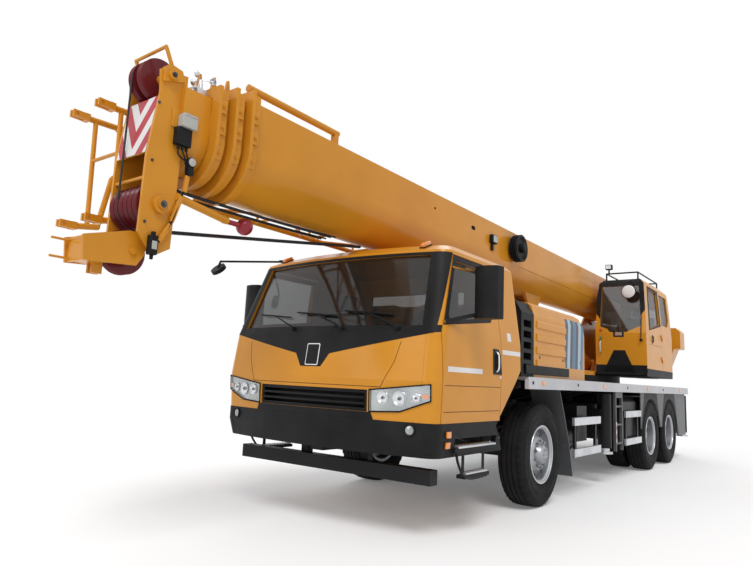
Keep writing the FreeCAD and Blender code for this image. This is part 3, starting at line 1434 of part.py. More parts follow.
def up_side(outline):
    return slab("xz", outline, S.up_outer_y - 200, S.up_outer_y + 60)


def up_window(inset):
    return [
        (S.up_door_rear_x + 90 - inset, S.up_window_low_z - inset),
        (S.up_door_front_x - 75 + inset, S.up_window_low_z - 150 - inset),
        (S.up_door_front_x - S.up_lean - 50 + inset, S.up_window_high_z - 60 + inset),
        (S.up_door_rear_x + 90 - inset, S.up_window_high_z - 60 + inset),
    ]


def up_rear_quarter():
    return [
        (S.up_rear_x + 130, S.up_window_low_z + 130), (S.up_rear_x + 260, S.up_window_low_z),
        (S.up_door_rear_x - 70, S.up_window_low_z), (S.up_door_rear_x - 70, S.up_window_high_z - 60),
        (S.up_rear_x + 160, S.up_window_high_z - 60),
    ]


def up_screen():
    middle = (S.up_inner_y + S.up_outer_y) / 2
    return slab("yz", [
        (middle - 90, S.up_waist_z + 20), (middle + 90, S.up_waist_z + 20),
        (S.up_outer_y - 85, S.up_waist_z + 120),
        (S.up_outer_y - S.up_tumble - 75, S.up_top_z - 110), (S.up_inner_y + 80, S.up_top_z - 110),
        (S.up_inner_y + 70, S.up_waist_z + 120),
    ], S.up_front_x - S.up_lean - 200, S.up_front_x + 100)


def up_rear_window():
    return box((S.up_rear_x - 50, S.up_inner_y + 120, S.up_window_low_z),
               (S.up_rear_x + 300, S.up_outer_y - 160, S.up_window_high_z - 250))


def up_inner_window():
    return slab("xz", [
        (S.up_rear_x + 330, S.up_window_low_z), (S.up_front_x - 230, S.up_window_low_z - 60),
        (S.up_front_x - 330, S.up_window_high_z - 140), (S.up_rear_x + 330, S.up_window_high_z - 140),
    ], S.up_inner_y - 50, S.up_inner_y + 150)


def up_windows():
    return [up_screen(), up_side(up_rear_quarter()), up_rear_window(), up_inner_window()]


def up_hinges():
    """The fixed and the moving halves of the operator's door hinges; the moving half stands on the fixed one."""
    x = S.up_door_rear_x + S.gap / 2
    face, radius = S.up_outer_y, S.up_hinge_radius
    y = face + radius
    fixed, moving = [], []
    for low in (S.up_low_z + 200, S.up_waist_z - 60):
        fixed.append(rod("z", (x, y, low), radius, 50))
        fixed.append(box((x - 60, face - 5, low), (x, y + radius, low + 50)))
        moving.append(rod("z", (x, y, low + 50 + S.seat), radius, 50))
        moving.append(box((x, face - 5, low + 50 + S.seat), (x + 60, y + radius, low + 100 + S.seat)))
    return fixed, moving


def operator_cab():
    shell = cut(up_form(0), up_form(S.up_wall))
    fixed, moving = up_hinges()
    shell = cut(shell, up_side(up_door_outline(0)), *up_windows())
    # Guard rails on the roof
    top = S.up_top_z
    rails = []
    front, rear = S.up_front_x - S.up_lean - 70, S.up_rear_x + 300
    inner, outer = S.up_inner_y + 130, S.up_outer_y - S.up_tumble - 110
    high = top + 120
    corners = [(front, inner), (front, outer), (rear, outer), (rear, inner)]
    for k, (x, y) in enumerate(corners):
        far_x, far_y = corners[(k + 1) % 4]
        rails.append(rod("z", (x, y, top - 4), 13, 124))
        axis = "x" if k % 2 else "y"
        if axis == "y":
            rails.append(rod("y", (x, inner, high), 13, outer - inner))
        else:
            rails.append(rod("x", (rear, y, high), 13, front - rear))
    node("operator_cab", fuse(shell, *rails, *fixed))
    start = (S.up_wall - S.glass_thick) / 2
    sheet_form = cut(up_form(start), up_form(start + S.glass_thick))
    node("operator_cab_glass", *[common(sheet_form, window) for window in up_windows()])
    panel = common(cut(up_form(0), up_form(S.up_wall)), up_side(up_door_outline(S.gap)))
    node("operator_door", fuse(cut(panel, up_side(up_window(0))), *moving))
    node("operator_door_glass", common(sheet_form, up_side(up_window(0))))


def operator_seat():
    floor = S.up_low_z + S.up_wall + S.seat
    y = (S.up_inner_y + S.up_outer_y) / 2
    x = S.slew_x - 480
    base = box((x - 190, y - 160, floor), (x + 150, y + 160, floor + 330))
    chair = fuse(seat_form(x, y, floor + 328), base)
    arms = [box((x - 200, y + side * 290 - 45, floor + 520), (x + 160, y + side * 290 + 45, floor + 600))
            for side in (-1, 1)]
    links = [box((x - 120, y + side * 240 - 30, floor + 380), (x - 40, y + side * 240 + 30, floor + 530))
             for side in (-1, 1)]
    levers = [strut((x + 110, y + side * 290, floor + 590), (x + 150, y + side * 290, floor + 760), 14)
              for side in (-1, 1)]
    knobs = [ball((x + 152, y + side * 290, floor + 770), 26) for side in (-1, 1)]
    node("operator_seat", fuse(chair, *arms, *links, *levers, *knobs))


# Boom

def boom_core(start, end, order, inset):
    """Solid form of a boom section: flat top, upright sides and a half-round belly."""
    shrink = S.boom_step * order + inset
    half = S.boom_half - shrink
    centre = S.boom_belly_z + S.boom_half
    return fuse(
        box((start, -half, centre), (end, half, S.boom_top_z - shrink)),
        rod("x", (start, 0, centre), half, end - start),
    )


def boom_tube(start, end, order):
    return cut(boom_core(start, end, order, 0), boom_core(start - 5, end + 5, order, S.boom_wall))


def collar(face_x, order):
    """Collar at a section's mouth: outer ring, lip, wear pads for the next section, and a rope guide fin."""
    start = face_x - S.collar_long
    ring = cut(boom_core(start, face_x, order, -S.collar_proud), boom_core(start - 5, face_x + 5, order, 0))
    ring2 = cut(boom_core(face_x - 30, face_x, order, -S.collar_proud - 22),
                boom_core(face_x - 40, face_x + 10, order, -S.collar_proud + 5))
    lip = cut(boom_core(face_x - 40, face_x, order, 1),
              boom_core(face_x - 50, face_x + 10, order + 1, -S.gap))
    shrink = S.boom_step * (order + 1)
    top, half, belly = S.boom_top_z - shrink, S.boom_half - shrink, S.boom_belly_z + shrink
    side = box((face_x - 40, half + S.seat, top - 280), (face_x, half + S.gap + 3, top - 130))
    pads = [
        box((face_x - 40, -130, top + S.seat), (face_x, 130, top + S.gap + 3)),
        side, mirrored(side),
        box((face_x - 40, -50, belly - S.gap - 4), (face_x, 50, belly - S.seat)),
    ]
    crown = S.boom_top_z - S.boom_step * order + S.collar_proud
    fin = slab("xz", [
        (face_x - 75, crown - 10), (face_x - 10, crown - 10), (face_x - 10, crown + 60),
        (face_x - 38, crown + 210),
        (face_x - 52, crown + 210), (face_x - 75, crown + 60),
    ], -12, 12)
    return [ring, ring2, lip, fin] + pads


def boom_base():
    tube = boom_tube(S.boom_tail_x, S.boom_collar_x, 0)
    boss_reach = S.cheek_y - S.gap
    bosses = []
    for side in (-1, 1):
        start = S.boom_half - S.boom_wall if side > 0 else -boss_reach
        bosses.append(rod("y", (S.pivot_x, start, S.pivot_z), 150, boss_reach - S.boom_half + S.boom_wall))
    # Ears of the lift cylinder's head
    inner = S.lift_eye_radius + 13
    ear = slab("xz", [
        (S.lift_head_x - 300, S.boom_belly_z + 32), (S.lift_head_x + 300, S.boom_belly_z + 32),
        (S.lift_head_x + 100, S.lift_head_z - 95), (S.lift_head_x - 100, S.lift_head_z - 95),
    ], inner, inner + 36)
    # Pipe above the boom and its two brackets
    pipe_z = S.boom_top_z + 160
    pipe_start = S.boom_collar_x - 1160
    pipe = rod("x", (pipe_start, 200, pipe_z), 30, 1070)
    brackets = [box((x, 175, S.boom_top_z - 4), (x + 50, 225, pipe_z))
                for x in (pipe_start + 10, S.boom_collar_x - 150)]
    # Cable reel on the left side
    reel_x, reel_z = 560, S.boom_top_z - 230
    reel = [
        rod("y", (reel_x, S.boom_half - 5, reel_z), 60, 150),
        rod("y", (reel_x, S.boom_half + 25, reel_z), 168, 16),
        rod("y", (reel_x, S.boom_half + 41, reel_z), 120, 60),
        rod("y", (reel_x, S.boom_half + 101, reel_z), 168, 16),
    ]
    bore = rod("y", (S.pivot_x, -boss_reach - 5, S.pivot_z), S.pivot_radius + S.seat, 2 * boss_reach + 10)
    body = fuse(tube, *bosses, ear, mirrored(ear), pipe, *brackets, *reel, *collar(S.boom_collar_x, 0))
    node("boom_base", cut(body, bore))


def boom_sections():
    for order in (1, 2):
        start = S.inner_tail_x + S.inner_tail_step * (order - 1)
        face = S.boom_collar_x + S.collar_pitch * order
        node("boom_section_%d" % (order + 1), fuse(boom_tube(start, face, order), *collar(face, order)))


def head_cheek_outline():
    return [
        (S.head_rear_x, S.head_top_z), (S.head_rear_x, 2820), (S.head_rear_x + 15, S.head_low_z + 70),
        (S.head_rear_x + 135, S.head_low_z), (S.head_front_x, S.head_low_z + 140),
        (S.head_front_x - 5, 2640),
        (S.head_front_x - 60, 3110), (S.head_rear_x + 215, S.head_top_z - 30),
    ]


def head_bracket():
    """Open box in front of the head's foot, which carries the auxiliary sheave between its sides."""
    front, half, low = S.bracket_front_x, S.bracket_half, S.head_low_z
    thick = S.head_plate - 4
    outline = [
        (S.head_rear_x + 150, low + 10), (S.tip_sheave_x - 40, low - 70), (front - 15, low - 95),
        (front, low + 65), (S.head_front_x + 10, low + 150), (S.head_rear_x + 170, low + 150),
    ]
    side = slab("xz", outline, half - thick, half)
    cap = box((front - 40, -half, low - 90), (front - 22, half, low + 62))
    lid = slab("xz", [
        (S.tip_sheave_x + S.tip_sheave_radius + 25, low + 92), (front - 20, low + 48),
        (front - 20, low + 66), (S.tip_sheave_x + S.tip_sheave_radius + 25, low + 110),
    ], -half + 5, half - 5)
    floor = box((S.tip_sheave_x + S.tip_sheave_radius + 25, -half + 5, low - 85),
                (front - 30, half - 5, low - 67))
    reach = S.head_half - half
    foot = box((S.head_rear_x + 155, half - thick, low + 105),
               (S.head_rear_x + 185, half + reach - 5, low + 145))
    rods = [rod("x", (front - 40, -half + 40, low + lift), 8, S.head_tip_x - front + 40)
            for lift in (45, -70)]
    prongs = [box((front - 190, y - 8, low - 150), (front - 120, y + 8, low - 70)) for y in (-24, 24)]
    pin = rod("y", (S.tip_sheave_x, -half - 14, S.tip_sheave_z), S.sheave_pin_radius - 10, 2 * half + 28)
    return [side, mirrored(side), cap, lid, floor, foot, mirrored(foot), pin] + rods + prongs


def guard_bow():
    """Bar across the top sheaves, on an upright at each cheek."""
    foot = (S.head_rear_x + 115, S.head_top_z)
    top = (S.head_rear_x + 190, S.head_top_z + 148)
    y = S.head_half - 12
    uprights = [strut((foot[0], side * y, foot[1]), (top[0], side * y, top[1]), 14) for side in (-1, 1)]
    return uprights + [rod("y", (top[0], -y - 5, top[1] - 3), 12, 2 * y + 10)]


def boom_tip():
    """Innermost section with the boom head: cheek plates, closing plates, sheave pins and brackets."""
    inner_y = S.head_half - S.head_plate
    cheek = slab("xz", head_cheek_outline(), inner_y, S.head_half)
    tube = boom_tube(S.inner_tail_x + S.inner_tail_step * 2, S.head_rear_x + 40, 3)
    end_plate = boom_core(S.head_rear_x + 10, S.head_rear_x + 40, 3, 0)
    window = box((S.head_rear_x, -150, 2700), (S.head_rear_x + 50, 150, 3120))
    back = box((S.head_rear_x + 22, -inner_y, S.low_sheave_z + S.low_sheave_radius + 15),
               (S.head_rear_x + 40, inner_y, S.boom_belly_z + 110))
    heel = box((S.head_rear_x + 22, -inner_y, S.head_low_z + 75),
               (S.head_rear_x + 40, inner_y, S.low_sheave_z - S.low_sheave_radius - 10))
    plate = slab("xz", [
        (S.head_front_x - 20, 2665), (S.head_front_x - 8, 2665),
        (S.head_front_x - 60, 3085), (S.head_front_x - 72, 3085),
    ], -inner_y - 5, inner_y + 5)
    low_pin, top_pin = [
        rod("y", (x, -S.head_half - 45, z), S.sheave_pin_radius, 2 * S.head_half + 90)
        for x, z in ((S.low_sheave_x, S.low_sheave_z), (S.top_sheave_x, S.top_sheave_z))
    ]
    boss = rod("y", (S.low_sheave_x, S.head_half - 5, S.low_sheave_z), 62, 35)
    top_lug = slab("xz", [
        (S.head_rear_x + 30, S.head_top_z - 60), (S.top_sheave_x + 60, S.top_sheave_z - 60),
        (S.top_sheave_x + 60, S.top_sheave_z + 40, 70), (S.top_sheave_x - 20, S.top_sheave_z + 75),
        (S.head_rear_x + 60, S.head_top_z + 10),
    ], inner_y, S.head_half + 18)
    rope_guard = rod("y", (S.head_front_x - 25, -S.head_half + 5, S.low_sheave_z + 165), 12,
                     2 * S.head_half - 10)
    # Arm that holds the ball weight behind the head
    arm_end = S.head_rear_x - S.ball_arm_long
    arm = fuse(strut((S.head_rear_x + 10, S.head_half - 3, S.ball_arm_z + 40),
                     (arm_end, S.ball_arm_y, S.ball_arm_z), 28),
               rod("x", (arm_end - 20, S.ball_arm_y, S.ball_arm_z), 28, 40))
    tip = fuse(tube, cut(end_plate, window), cheek, mirrored(cheek), back, heel, plate, boss, mirrored(boss),
               top_lug, mirrored(top_lug), low_pin, top_pin, rope_guard, arm, *head_bracket(), *guard_bow())
    slot = box((S.head_rear_x - 40, -115, S.head_top_z - 230), (S.head_rear_x + 80, 115, S.head_top_z + 10))
    node("boom_tip", cut(tip, slot))


def sheave(x, y, z, radius, bore, half_thick):
    return turned("y", [
        (bore, -half_thick), (radius, -half_thick), (radius - 22, 0), (radius, half_thick),
        (bore, half_thick),
    ], (x, y, z))


def head_sheaves():
    """Grooved wheels of the head and the ball weight on its arm."""
    bore = S.sheave_pin_radius + S.seat
    wheels_on = []
    for y in (-50, 50):
        wheels_on.append(sheave(S.top_sheave_x, y, S.top_sheave_z, S.top_sheave_radius, bore, 26))
    for y in (-135, -81, -27, 27, 81, 135):
        wheels_on.append(sheave(S.low_sheave_x, y, S.low_sheave_z, S.low_sheave_radius, bore, 24))
    wheels_on.append(sheave(S.tip_sheave_x, 0, S.tip_sheave_z, S.tip_sheave_radius, bore - 10, 30))
    x = S.head_rear_x - S.ball_arm_long - 20
    weight = fuse(
        ball((x - 170, S.ball_arm_y, S.ball_arm_z - 10), 66),
        rod("x", (x - 120, S.ball_arm_y, S.ball_arm_z - 6), 20, 120 - S.seat),
    )
    node("head_sheaves", *wheels_on, weight)


JIB_BAYS = 10


def jib_lacing():
    """Posts and diagonals between the chords; their ends are spread out so that no two cross in a chord."""
    y0, half = S.jib_side_y, S.jib_half
    pitch = (S.jib_front_x - S.jib_rear_x) / JIB_BAYS
    laces = []
    for k in range(JIB_BAYS + 1):
        x = S.jib_rear_x + k * pitch + (20 if k == 0 else -55 if k == JIB_BAYS else 0)
        for y in (y0 - half, y0 + half):
            laces.append(rod("z", (x, y, S.jib_low_z), S.lace_radius, S.jib_high_z - S.jib_low_z))
        for z in (S.jib_low_z, S.jib_high_z):
            laces.append(rod("y", (x + 34, y0 - half, z), S.lace_radius, 2 * half))
    for k in range(JIB_BAYS):
        start, end = S.jib_rear_x + k * pitch, S.jib_rear_x + (k + 1) * pitch
        low, high = (S.jib_low_z, S.jib_high_z) if k % 2 else (S.jib_high_z, S.jib_low_z)
        for y in (y0 - half, y0 + half):
            laces.append(strut((start + 90, y, low), (end - 95, y, high), S.lace_radius))
        near, far = (y0 - half, y0 + half) if k % 2 else (y0 + half, y0 - half)
        for z in (S.jib_low_z, S.jib_high_z):
            laces.append(strut((start + 130, near, z), (end - 135, far, z), S.lace_radius))
    return laces


def jib_fork(start, y, z):
    """Tube that starts at a point and carries a forked eye at the jib's head end."""
    tip = S.jib_fork_x
    parts = [strut(start, (tip - 110, y, z), S.chord_radius - 2)]
    parts.append(box((tip - 130, y - 32, z - 28), (tip - 90, y + 32, z + 28)))
    for side in (-1, 1):
        prong = box((tip - 95, y + side * 22 - 10, z - 26), (tip, y + side * 22 + 10, z + 26))
        parts.append(cut(prong, rod("y", (tip - 30, y + side * 22 - 20, z), 14, 40)))
    return parts


def jib_head():
    """Forked frame at the jib's head end, with a flange against the end of each chord."""
    y0, half = S.jib_side_y, S.jib_half
    front, tip = S.jib_front_x + S.seat, S.jib_fork_x
    high_z = S.jib_high_z - 10
    frame = []
    for y in (y0 - half, y0 + half):
        for z in (S.jib_low_z, S.jib_high_z):
            frame.append(rod("x", (front, y, z), S.chord_radius + 8, S.jib_flange))
        heel = (front + 105, y, S.jib_fork_z + 30)
        frame += jib_fork((front + S.jib_flange / 2, y, S.jib_high_z), y, high_z)
        frame += jib_fork(heel, y, S.jib_fork_z)
        frame.append(ball(heel, S.chord_radius - 2))
        frame.append(strut((front + S.jib_flange, y, S.jib_low_z), heel, S.chord_radius - 4))
        frame.append(ball((front + S.jib_flange, y, S.jib_low_z), S.chord_radius - 4))
        frame.append(strut((tip - 215, y, S.jib_fork_z + 10), (tip - 190, y, high_z), 18))
    middle = (S.jib_fork_z + S.jib_high_z) / 2 + 100
    frame.append(rod("y", (tip - 200, y0 - half, middle), 14, 2 * half))
    return fuse(*frame)


def jib():
    """Lattice jib folded along the right side of the boom, and the forked frame at its head end."""
    y0, half = S.jib_side_y, S.jib_half
    rear, front = S.jib_rear_x, S.jib_front_x
    chords = [rod("x", (rear, y, z), S.chord_radius, front - rear)
              for y in (y0 - half, y0 + half) for z in (S.jib_low_z, S.jib_high_z)]
    pitch = (front - rear) / JIB_BAYS
    holds = [box((x - 60, y0 + half - 8, S.jib_high_z - 60), (x + 60, -S.boom_half - S.seat, S.jib_high_z + 20))
             for x in (rear + 1.5 * pitch, rear + 8.5 * pitch)]
    node("jib", fuse(*chords, *jib_lacing(), *holds), jib_head())


def lift_cylinder():
    """Barrel hinged on the turntable, and the rod whose eye sits between the boom's ears."""
    total = lift_length()
    end = total - 230
    barrel = strut(on_lift(S.lift_eye_radius - 15), on_lift(end), S.lift_barrel_radius)
    foot = rod("y", (S.lift_foot_x, -S.lift_barrel_radius + 3, S.lift_foot_z), S.lift_eye_radius,
               2 * S.lift_barrel_radius - 6)
    gland = strut(on_lift(end - 60), on_lift(end), S.lift_barrel_radius + 12)
    bore = strut(on_lift(S.lift_barrel_radius + 120), on_lift(end + 5), S.lift_rod_radius + S.seat)
    pin = rod("y", (S.lift_foot_x, -S.lift_barrel_radius - 5, S.lift_foot_z), S.lift_pin_radius + S.seat,
              2 * S.lift_barrel_radius + 10)
    node("lift_barrel", cut(fuse(barrel, foot, gland), bore, pin))
    bar = strut(on_lift(S.lift_barrel_radius + 130), on_lift(total - 20), S.lift_rod_radius)
    eye = rod("y", (S.lift_head_x, -S.lift_eye_radius - 3, S.lift_head_z), S.lift_eye_radius,
              2 * S.lift_eye_radius + 6)
    node("lift_rod", fuse(bar, eye))


MODEL = (
    chassis_frame, deck, front_axle, rear_axles, engine, engine_hood, radiator_housing, hook_block,
    cab_shell, cab_glass, cab_interior, corner_mirror, front_skirt, lamp_units, side_guards, mudguards,
    tanks,
    doors, steering, wheels, outriggers,
    turntable, counterweight, winches, operator_cab, operator_seat,
    boom_base, boom_sections, boom_tip, head_sheaves, jib, lift_cylinder,
)


def build():
    for make in MODEL:
        make()
    doc.recompute()
    for thing in doc.Objects:
        if "Invalid" in thing.State or "Error" in thing.State:
            raise RuntimeError("%s (%s) failed: %s" % (thing.Label, thing.TypeId, thing.State))
    os.makedirs("parts", exist_ok=True)
    for name in NODES:
        shape = doc.getObjectsByLabel(name)[0].Shape
        if shape.isNull() or not shape.isValid() or not shape.Solids:
            raise RuntimeError("%s has no valid solid" % name)
        shape.exportStep("parts/%s.step" % name)


build()
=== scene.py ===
"""Dresses the truck crane: finishes for every piece, and the small forms that the solids leave out.

Metres, in the solids' own frame: X forwards, Y to the crane's left, Z up.
"""
import bpy
import bmesh
import json
import math
from mathutils import Matrix, Vector
from mathutils.bvhtree import BVHTree


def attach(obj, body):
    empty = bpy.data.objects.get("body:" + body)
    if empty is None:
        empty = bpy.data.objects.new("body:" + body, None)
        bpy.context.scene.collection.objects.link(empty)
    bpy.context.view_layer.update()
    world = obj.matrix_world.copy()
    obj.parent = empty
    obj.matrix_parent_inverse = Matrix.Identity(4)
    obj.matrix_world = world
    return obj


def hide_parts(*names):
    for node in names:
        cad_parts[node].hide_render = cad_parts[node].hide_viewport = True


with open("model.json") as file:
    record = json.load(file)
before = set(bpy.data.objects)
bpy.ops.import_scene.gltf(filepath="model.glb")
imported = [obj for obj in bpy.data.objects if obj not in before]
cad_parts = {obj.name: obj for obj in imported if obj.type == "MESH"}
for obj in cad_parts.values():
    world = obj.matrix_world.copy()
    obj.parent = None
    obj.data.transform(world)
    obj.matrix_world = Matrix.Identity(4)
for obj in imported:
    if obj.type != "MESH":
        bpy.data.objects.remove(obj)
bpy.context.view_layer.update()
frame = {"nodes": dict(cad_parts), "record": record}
NODES = frame["nodes"]
UP = Vector((0, 0, 1))


# Materials

def blank(name, **sockets):
    """A new material; returns it with its node tree and its shader."""
    made = bpy.data.materials.new(name)
    made.use_nodes = True
    tree = made.node_tree
    shader = tree.nodes["Principled BSDF"]
    for socket, value in sockets.items():
        shader.inputs[socket.replace("_", " ")].default_value = value
    return made, tree, shader


def noise(tree, scale, detail=4.0, stretch=(1, 1, 1)):
    """Noise in the piece's own space, in metres; returns its value."""
    place = tree.nodes.new("ShaderNodeTexCoord")
    spread = tree.nodes.new("ShaderNodeMapping")
    spread.inputs["Scale"].default_value = stretch
    grain = tree.nodes.new("ShaderNodeTexNoise")
    grain.inputs["Scale"].default_value = scale
    grain.inputs["Detail"].default_value = detail
    tree.links.new(place.outputs["Object"], spread.inputs["Vector"])
    tree.links.new(spread.outputs["Vector"], grain.inputs["Vector"])
    return grain.outputs["Fac"]


def tint(tree, shader, value, low, high, start=0.3, end=0.7):
    """Runs the base colour from low to high with a value."""
    ramp = tree.nodes.new("ShaderNodeValToRGB")
    ramp.color_ramp.elements[0].position = start
    ramp.color_ramp.elements[0].color = (*low, 1)
    ramp.color_ramp.elements[1].position = end
    ramp.color_ramp.elements[1].color = (*high, 1)
    tree.links.new(value, ramp.inputs["Fac"])
    tree.links.new(ramp.outputs["Color"], shader.inputs["Base Color"])
    return ramp


def gloss(tree, shader, value, low, high):
    """Runs the roughness from low to high with a value."""
    span = tree.nodes.new("ShaderNodeMapRange")
    span.inputs["To Min"].default_value = low
    span.inputs["To Max"].default_value = high
    tree.links.new(value, span.inputs["Value"])
    tree.links.new(span.outputs["Result"], shader.inputs["Roughness"])


def bump(tree, shader, value, strength, depth):
    """A relief of a value, depth metres high."""
    relief = tree.nodes.new("ShaderNodeBump")
    relief.inputs["Strength"].default_value = strength
    relief.inputs["Distance"].default_value = depth
    tree.links.new(value, relief.inputs["Height"])
    tree.links.new(relief.outputs["Normal"], shader.inputs["Normal"])


def paint(name, low, high, rough=0.3, coat=0.2, relief=0.15, shine=0.2):
    """Sprayed paint: slight cloudiness, orange peel and a clear coat."""
    made, tree, shader = blank(name, Coat_Weight=coat, Coat_Roughness=0.12, Roughness=rough, Specular_IOR_Level=shine)
    tint(tree, shader, noise(tree, 1.7, 5.0), low, high)
    gloss(tree, shader, noise(tree, 6.0, 3.0), rough - 0.05, rough + 0.08)
    bump(tree, shader, noise(tree, 260.0, 2.0), relief, 0.0004)
    return made


def plastic(name, low, high, rough=0.55, grain=700.0, shine=0.12):
    """Moulded plastic with a fine grain."""
    made, tree, shader = blank(name, Roughness=rough, Specular_IOR_Level=shine)
    tint(tree, shader, noise(tree, 3.0), low, high)
    gloss(tree, shader, noise(tree, 9.0), rough - 0.08, rough + 0.08)
    bump(tree, shader, noise(tree, grain, 2.0), 0.4, 0.0005)
    return made


def metal(name, low, high, rough=0.35, stretch=(1, 30, 30), relief=0.2):
    """Bare metal, brushed along one axis."""
    made, tree, shader = blank(name, Metallic=1.0, Roughness=rough)
    tint(tree, shader, noise(tree, 5.0, 5.0), low, high)
    gloss(tree, shader, noise(tree, 14.0, 4.0, stretch), rough - 0.1, rough + 0.12)
    bump(tree, shader, noise(tree, 20.0, 3.0, stretch), relief, 0.0004)
    return made


def clear(name, color, alpha, rough=0.03):
    """Tinted glass that shows what lies behind it."""
    made, tree, shader = blank(name, Base_Color=(*color, 1), Roughness=rough, Alpha=alpha, Specular_IOR_Level=0.9)
    gloss(tree, shader, noise(tree, 2.0), rough, rough + 0.03)
    made.blend_method = "BLEND"
    return made


def glowing(name, low, high, rough=0.15):
    """A lamp's coloured lens with fine ribs."""
    made, tree, shader = blank(name, Roughness=rough, Coat_Weight=1.0, Coat_Roughness=0.05)
    tint(tree, shader, noise(tree, 60.0, 2.0, (1, 1, 8)), low, high)
    bump(tree, shader, noise(tree, 90.0, 1.0, (1, 1, 6)), 0.5, 0.002)
    return made


YELLOW = paint("yellow_paint", (0.60, 0.245, 0.016), (0.68, 0.285, 0.020))
BLACK = paint("black_paint", (0.009, 0.009, 0.010), (0.017, 0.017, 0.019), 0.42, 0.05, 0.15, 0.12)
GREY = paint("grey_paint", (0.075, 0.077, 0.080), (0.110, 0.112, 0.116), 0.45, 0.1)
RED = paint("red_paint", (0.10, 0.008, 0.012), (0.16, 0.014, 0.018), 0.4, 0.25)
BALL_RED = paint("ball_red", (0.22, 0.010, 0.022), (0.30, 0.016, 0.032), 0.35, 0.4)
WHITE = paint("white_marking", (0.72, 0.70, 0.68), (0.82, 0.80, 0.78), 0.35, 0.2)
TRIM = plastic("black_trim", (0.009, 0.009, 0.010), (0.018, 0.018, 0.019), 0.5)
# Near-black for dark joints between panels; the same finish is painted shade inside hand holes, sight holes and the
# door handles' recesses.
JOINT_AND_RECESS_SHADE = plastic("shadow_seam", (0.006, 0.005, 0.004), (0.012, 0.009, 0.006), 0.8)
INSIDE = plastic("interior", (0.025, 0.026, 0.028), (0.045, 0.045, 0.047), 0.6)
PALE_BOX = plastic("pale_plastic", (0.42, 0.42, 0.40), (0.50, 0.50, 0.48), 0.45)
SILVER = metal("silver", (0.52, 0.53, 0.55), (0.66, 0.67, 0.69), 0.42, (1, 30, 30), 0.1)
RIM = metal("rim_silver", (0.32, 0.33, 0.35), (0.46, 0.47, 0.49), 0.45, (8, 1, 8), 0.15)
CHROME = metal("chrome", (0.68, 0.69, 0.70), (0.80, 0.80, 0.81), 0.14, (1, 12, 12), 0.03)
STEEL = metal("dark_steel", (0.07, 0.07, 0.075), (0.14, 0.14, 0.145), 0.45, (1, 6, 6), 0.3)
MIRROR = metal("mirror_glass", (0.75, 0.77, 0.78), (0.82, 0.83, 0.84), 0.11, (1, 1, 1), 0.0)
IRON = paint("cast_iron", (0.05, 0.05, 0.05), (0.10, 0.10, 0.10), 0.7, 0.0, 0.8)
GLASS = clear("glass", (0.016, 0.021, 0.023), 0.45)
LENS = clear("clear_lens", (0.80, 0.84, 0.88), 0.22)
AMBER = glowing("amber_lens", (0.80, 0.20, 0.01), (0.95, 0.32, 0.02))
SIGNAL_RED = glowing("red_lens", (0.50, 0.01, 0.01), (0.65, 0.02, 0.02))
SIGNAL_GREEN = glowing("green_lens", (0.01, 0.16, 0.05), (0.02, 0.26, 0.09))


def rubber_material():
    made, tree, shader = blank("tyre", Roughness=0.8, Specular_IOR_Level=0.2)
    tint(tree, shader, noise(tree, 7.0, 6.0), (0.007, 0.007, 0.008), (0.017, 0.016, 0.016))
    gloss(tree, shader, noise(tree, 20.0), 0.7, 0.9)
    bump(tree, shader, noise(tree, 160.0, 4.0), 0.5, 0.001)
    return made


def tread_plate_material():
    """Deck plate with raised dashes that lie crosswise."""
    made, tree, shader = blank("deck_grey", Roughness=0.5, Metallic=0.6)
    tint(tree, shader, noise(tree, 4.0, 6.0), (0.20, 0.20, 0.205), (0.30, 0.30, 0.305))
    place = tree.nodes.new("ShaderNodeTexCoord")
    cells = tree.nodes.new("ShaderNodeTexVoronoi")
    cells.inputs["Scale"].default_value = 32.0
    cells.inputs["Randomness"].default_value = 0.15
    tree.links.new(place.outputs["Object"], cells.inputs["Vector"])
    gloss(tree, shader, cells.outputs["Distance"], 0.38, 0.6)
    bump(tree, shader, cells.outputs["Distance"], 0.6, 0.003)
    return made


RAIL = paint("rail_silver", (0.46, 0.46, 0.48), (0.56, 0.56, 0.58), 0.4, 0.1)
LAMP_BACK = metal("lamp_housing", (0.22, 0.24, 0.24), (0.48, 0.51, 0.50), 0.22, (1, 1, 1), 0.3)
DARK_LENS = glowing("dark_lens", (0.03, 0.035, 0.04), (0.08, 0.085, 0.09))
CHEVRON = paint("chevron_red", (0.42, 0.035, 0.05), (0.50, 0.05, 0.07), 0.4, 0.2)
NUT = metal("wheel_nut", (0.30, 0.30, 0.31), (0.45, 0.45, 0.46), 0.35, (1, 1, 1), 0.2)
RIM_EDGE = metal("rim_edge", (0.48, 0.49, 0.50), (0.60, 0.61, 0.62), 0.3, (8, 1, 8), 0.1)
BLUE_DEEP = paint("bar_deep_blue", (0.008, 0.030, 0.085), (0.012, 0.045, 0.115), 0.35, 0.3)
BLUE_MID = paint("bar_blue", (0.018, 0.130, 0.250), (0.026, 0.165, 0.310), 0.35, 0.3)
BLUE_PALE = paint("bar_pale_blue", (0.28, 0.46, 0.56), (0.36, 0.54, 0.64), 0.35, 0.3)


def fabric_material():
    """Woven dark seat cloth."""
    made, tree, shader = blank("seat_cloth", Roughness=0.9, Sheen_Weight=0.3)
    tint(tree, shader, noise(tree, 18.0, 6.0), (0.020, 0.021, 0.023), (0.055, 0.056, 0.060))
    place = tree.nodes.new("ShaderNodeTexCoord")
    weave = tree.nodes.new("ShaderNodeTexVoronoi")
    weave.inputs["Scale"].default_value = 420.0
    weave.inputs["Randomness"].default_value = 0.25
    tree.links.new(place.outputs["Object"], weave.inputs["Vector"])
    bump(tree, shader, weave.outputs["Distance"], 0.6, 0.001)
    return made


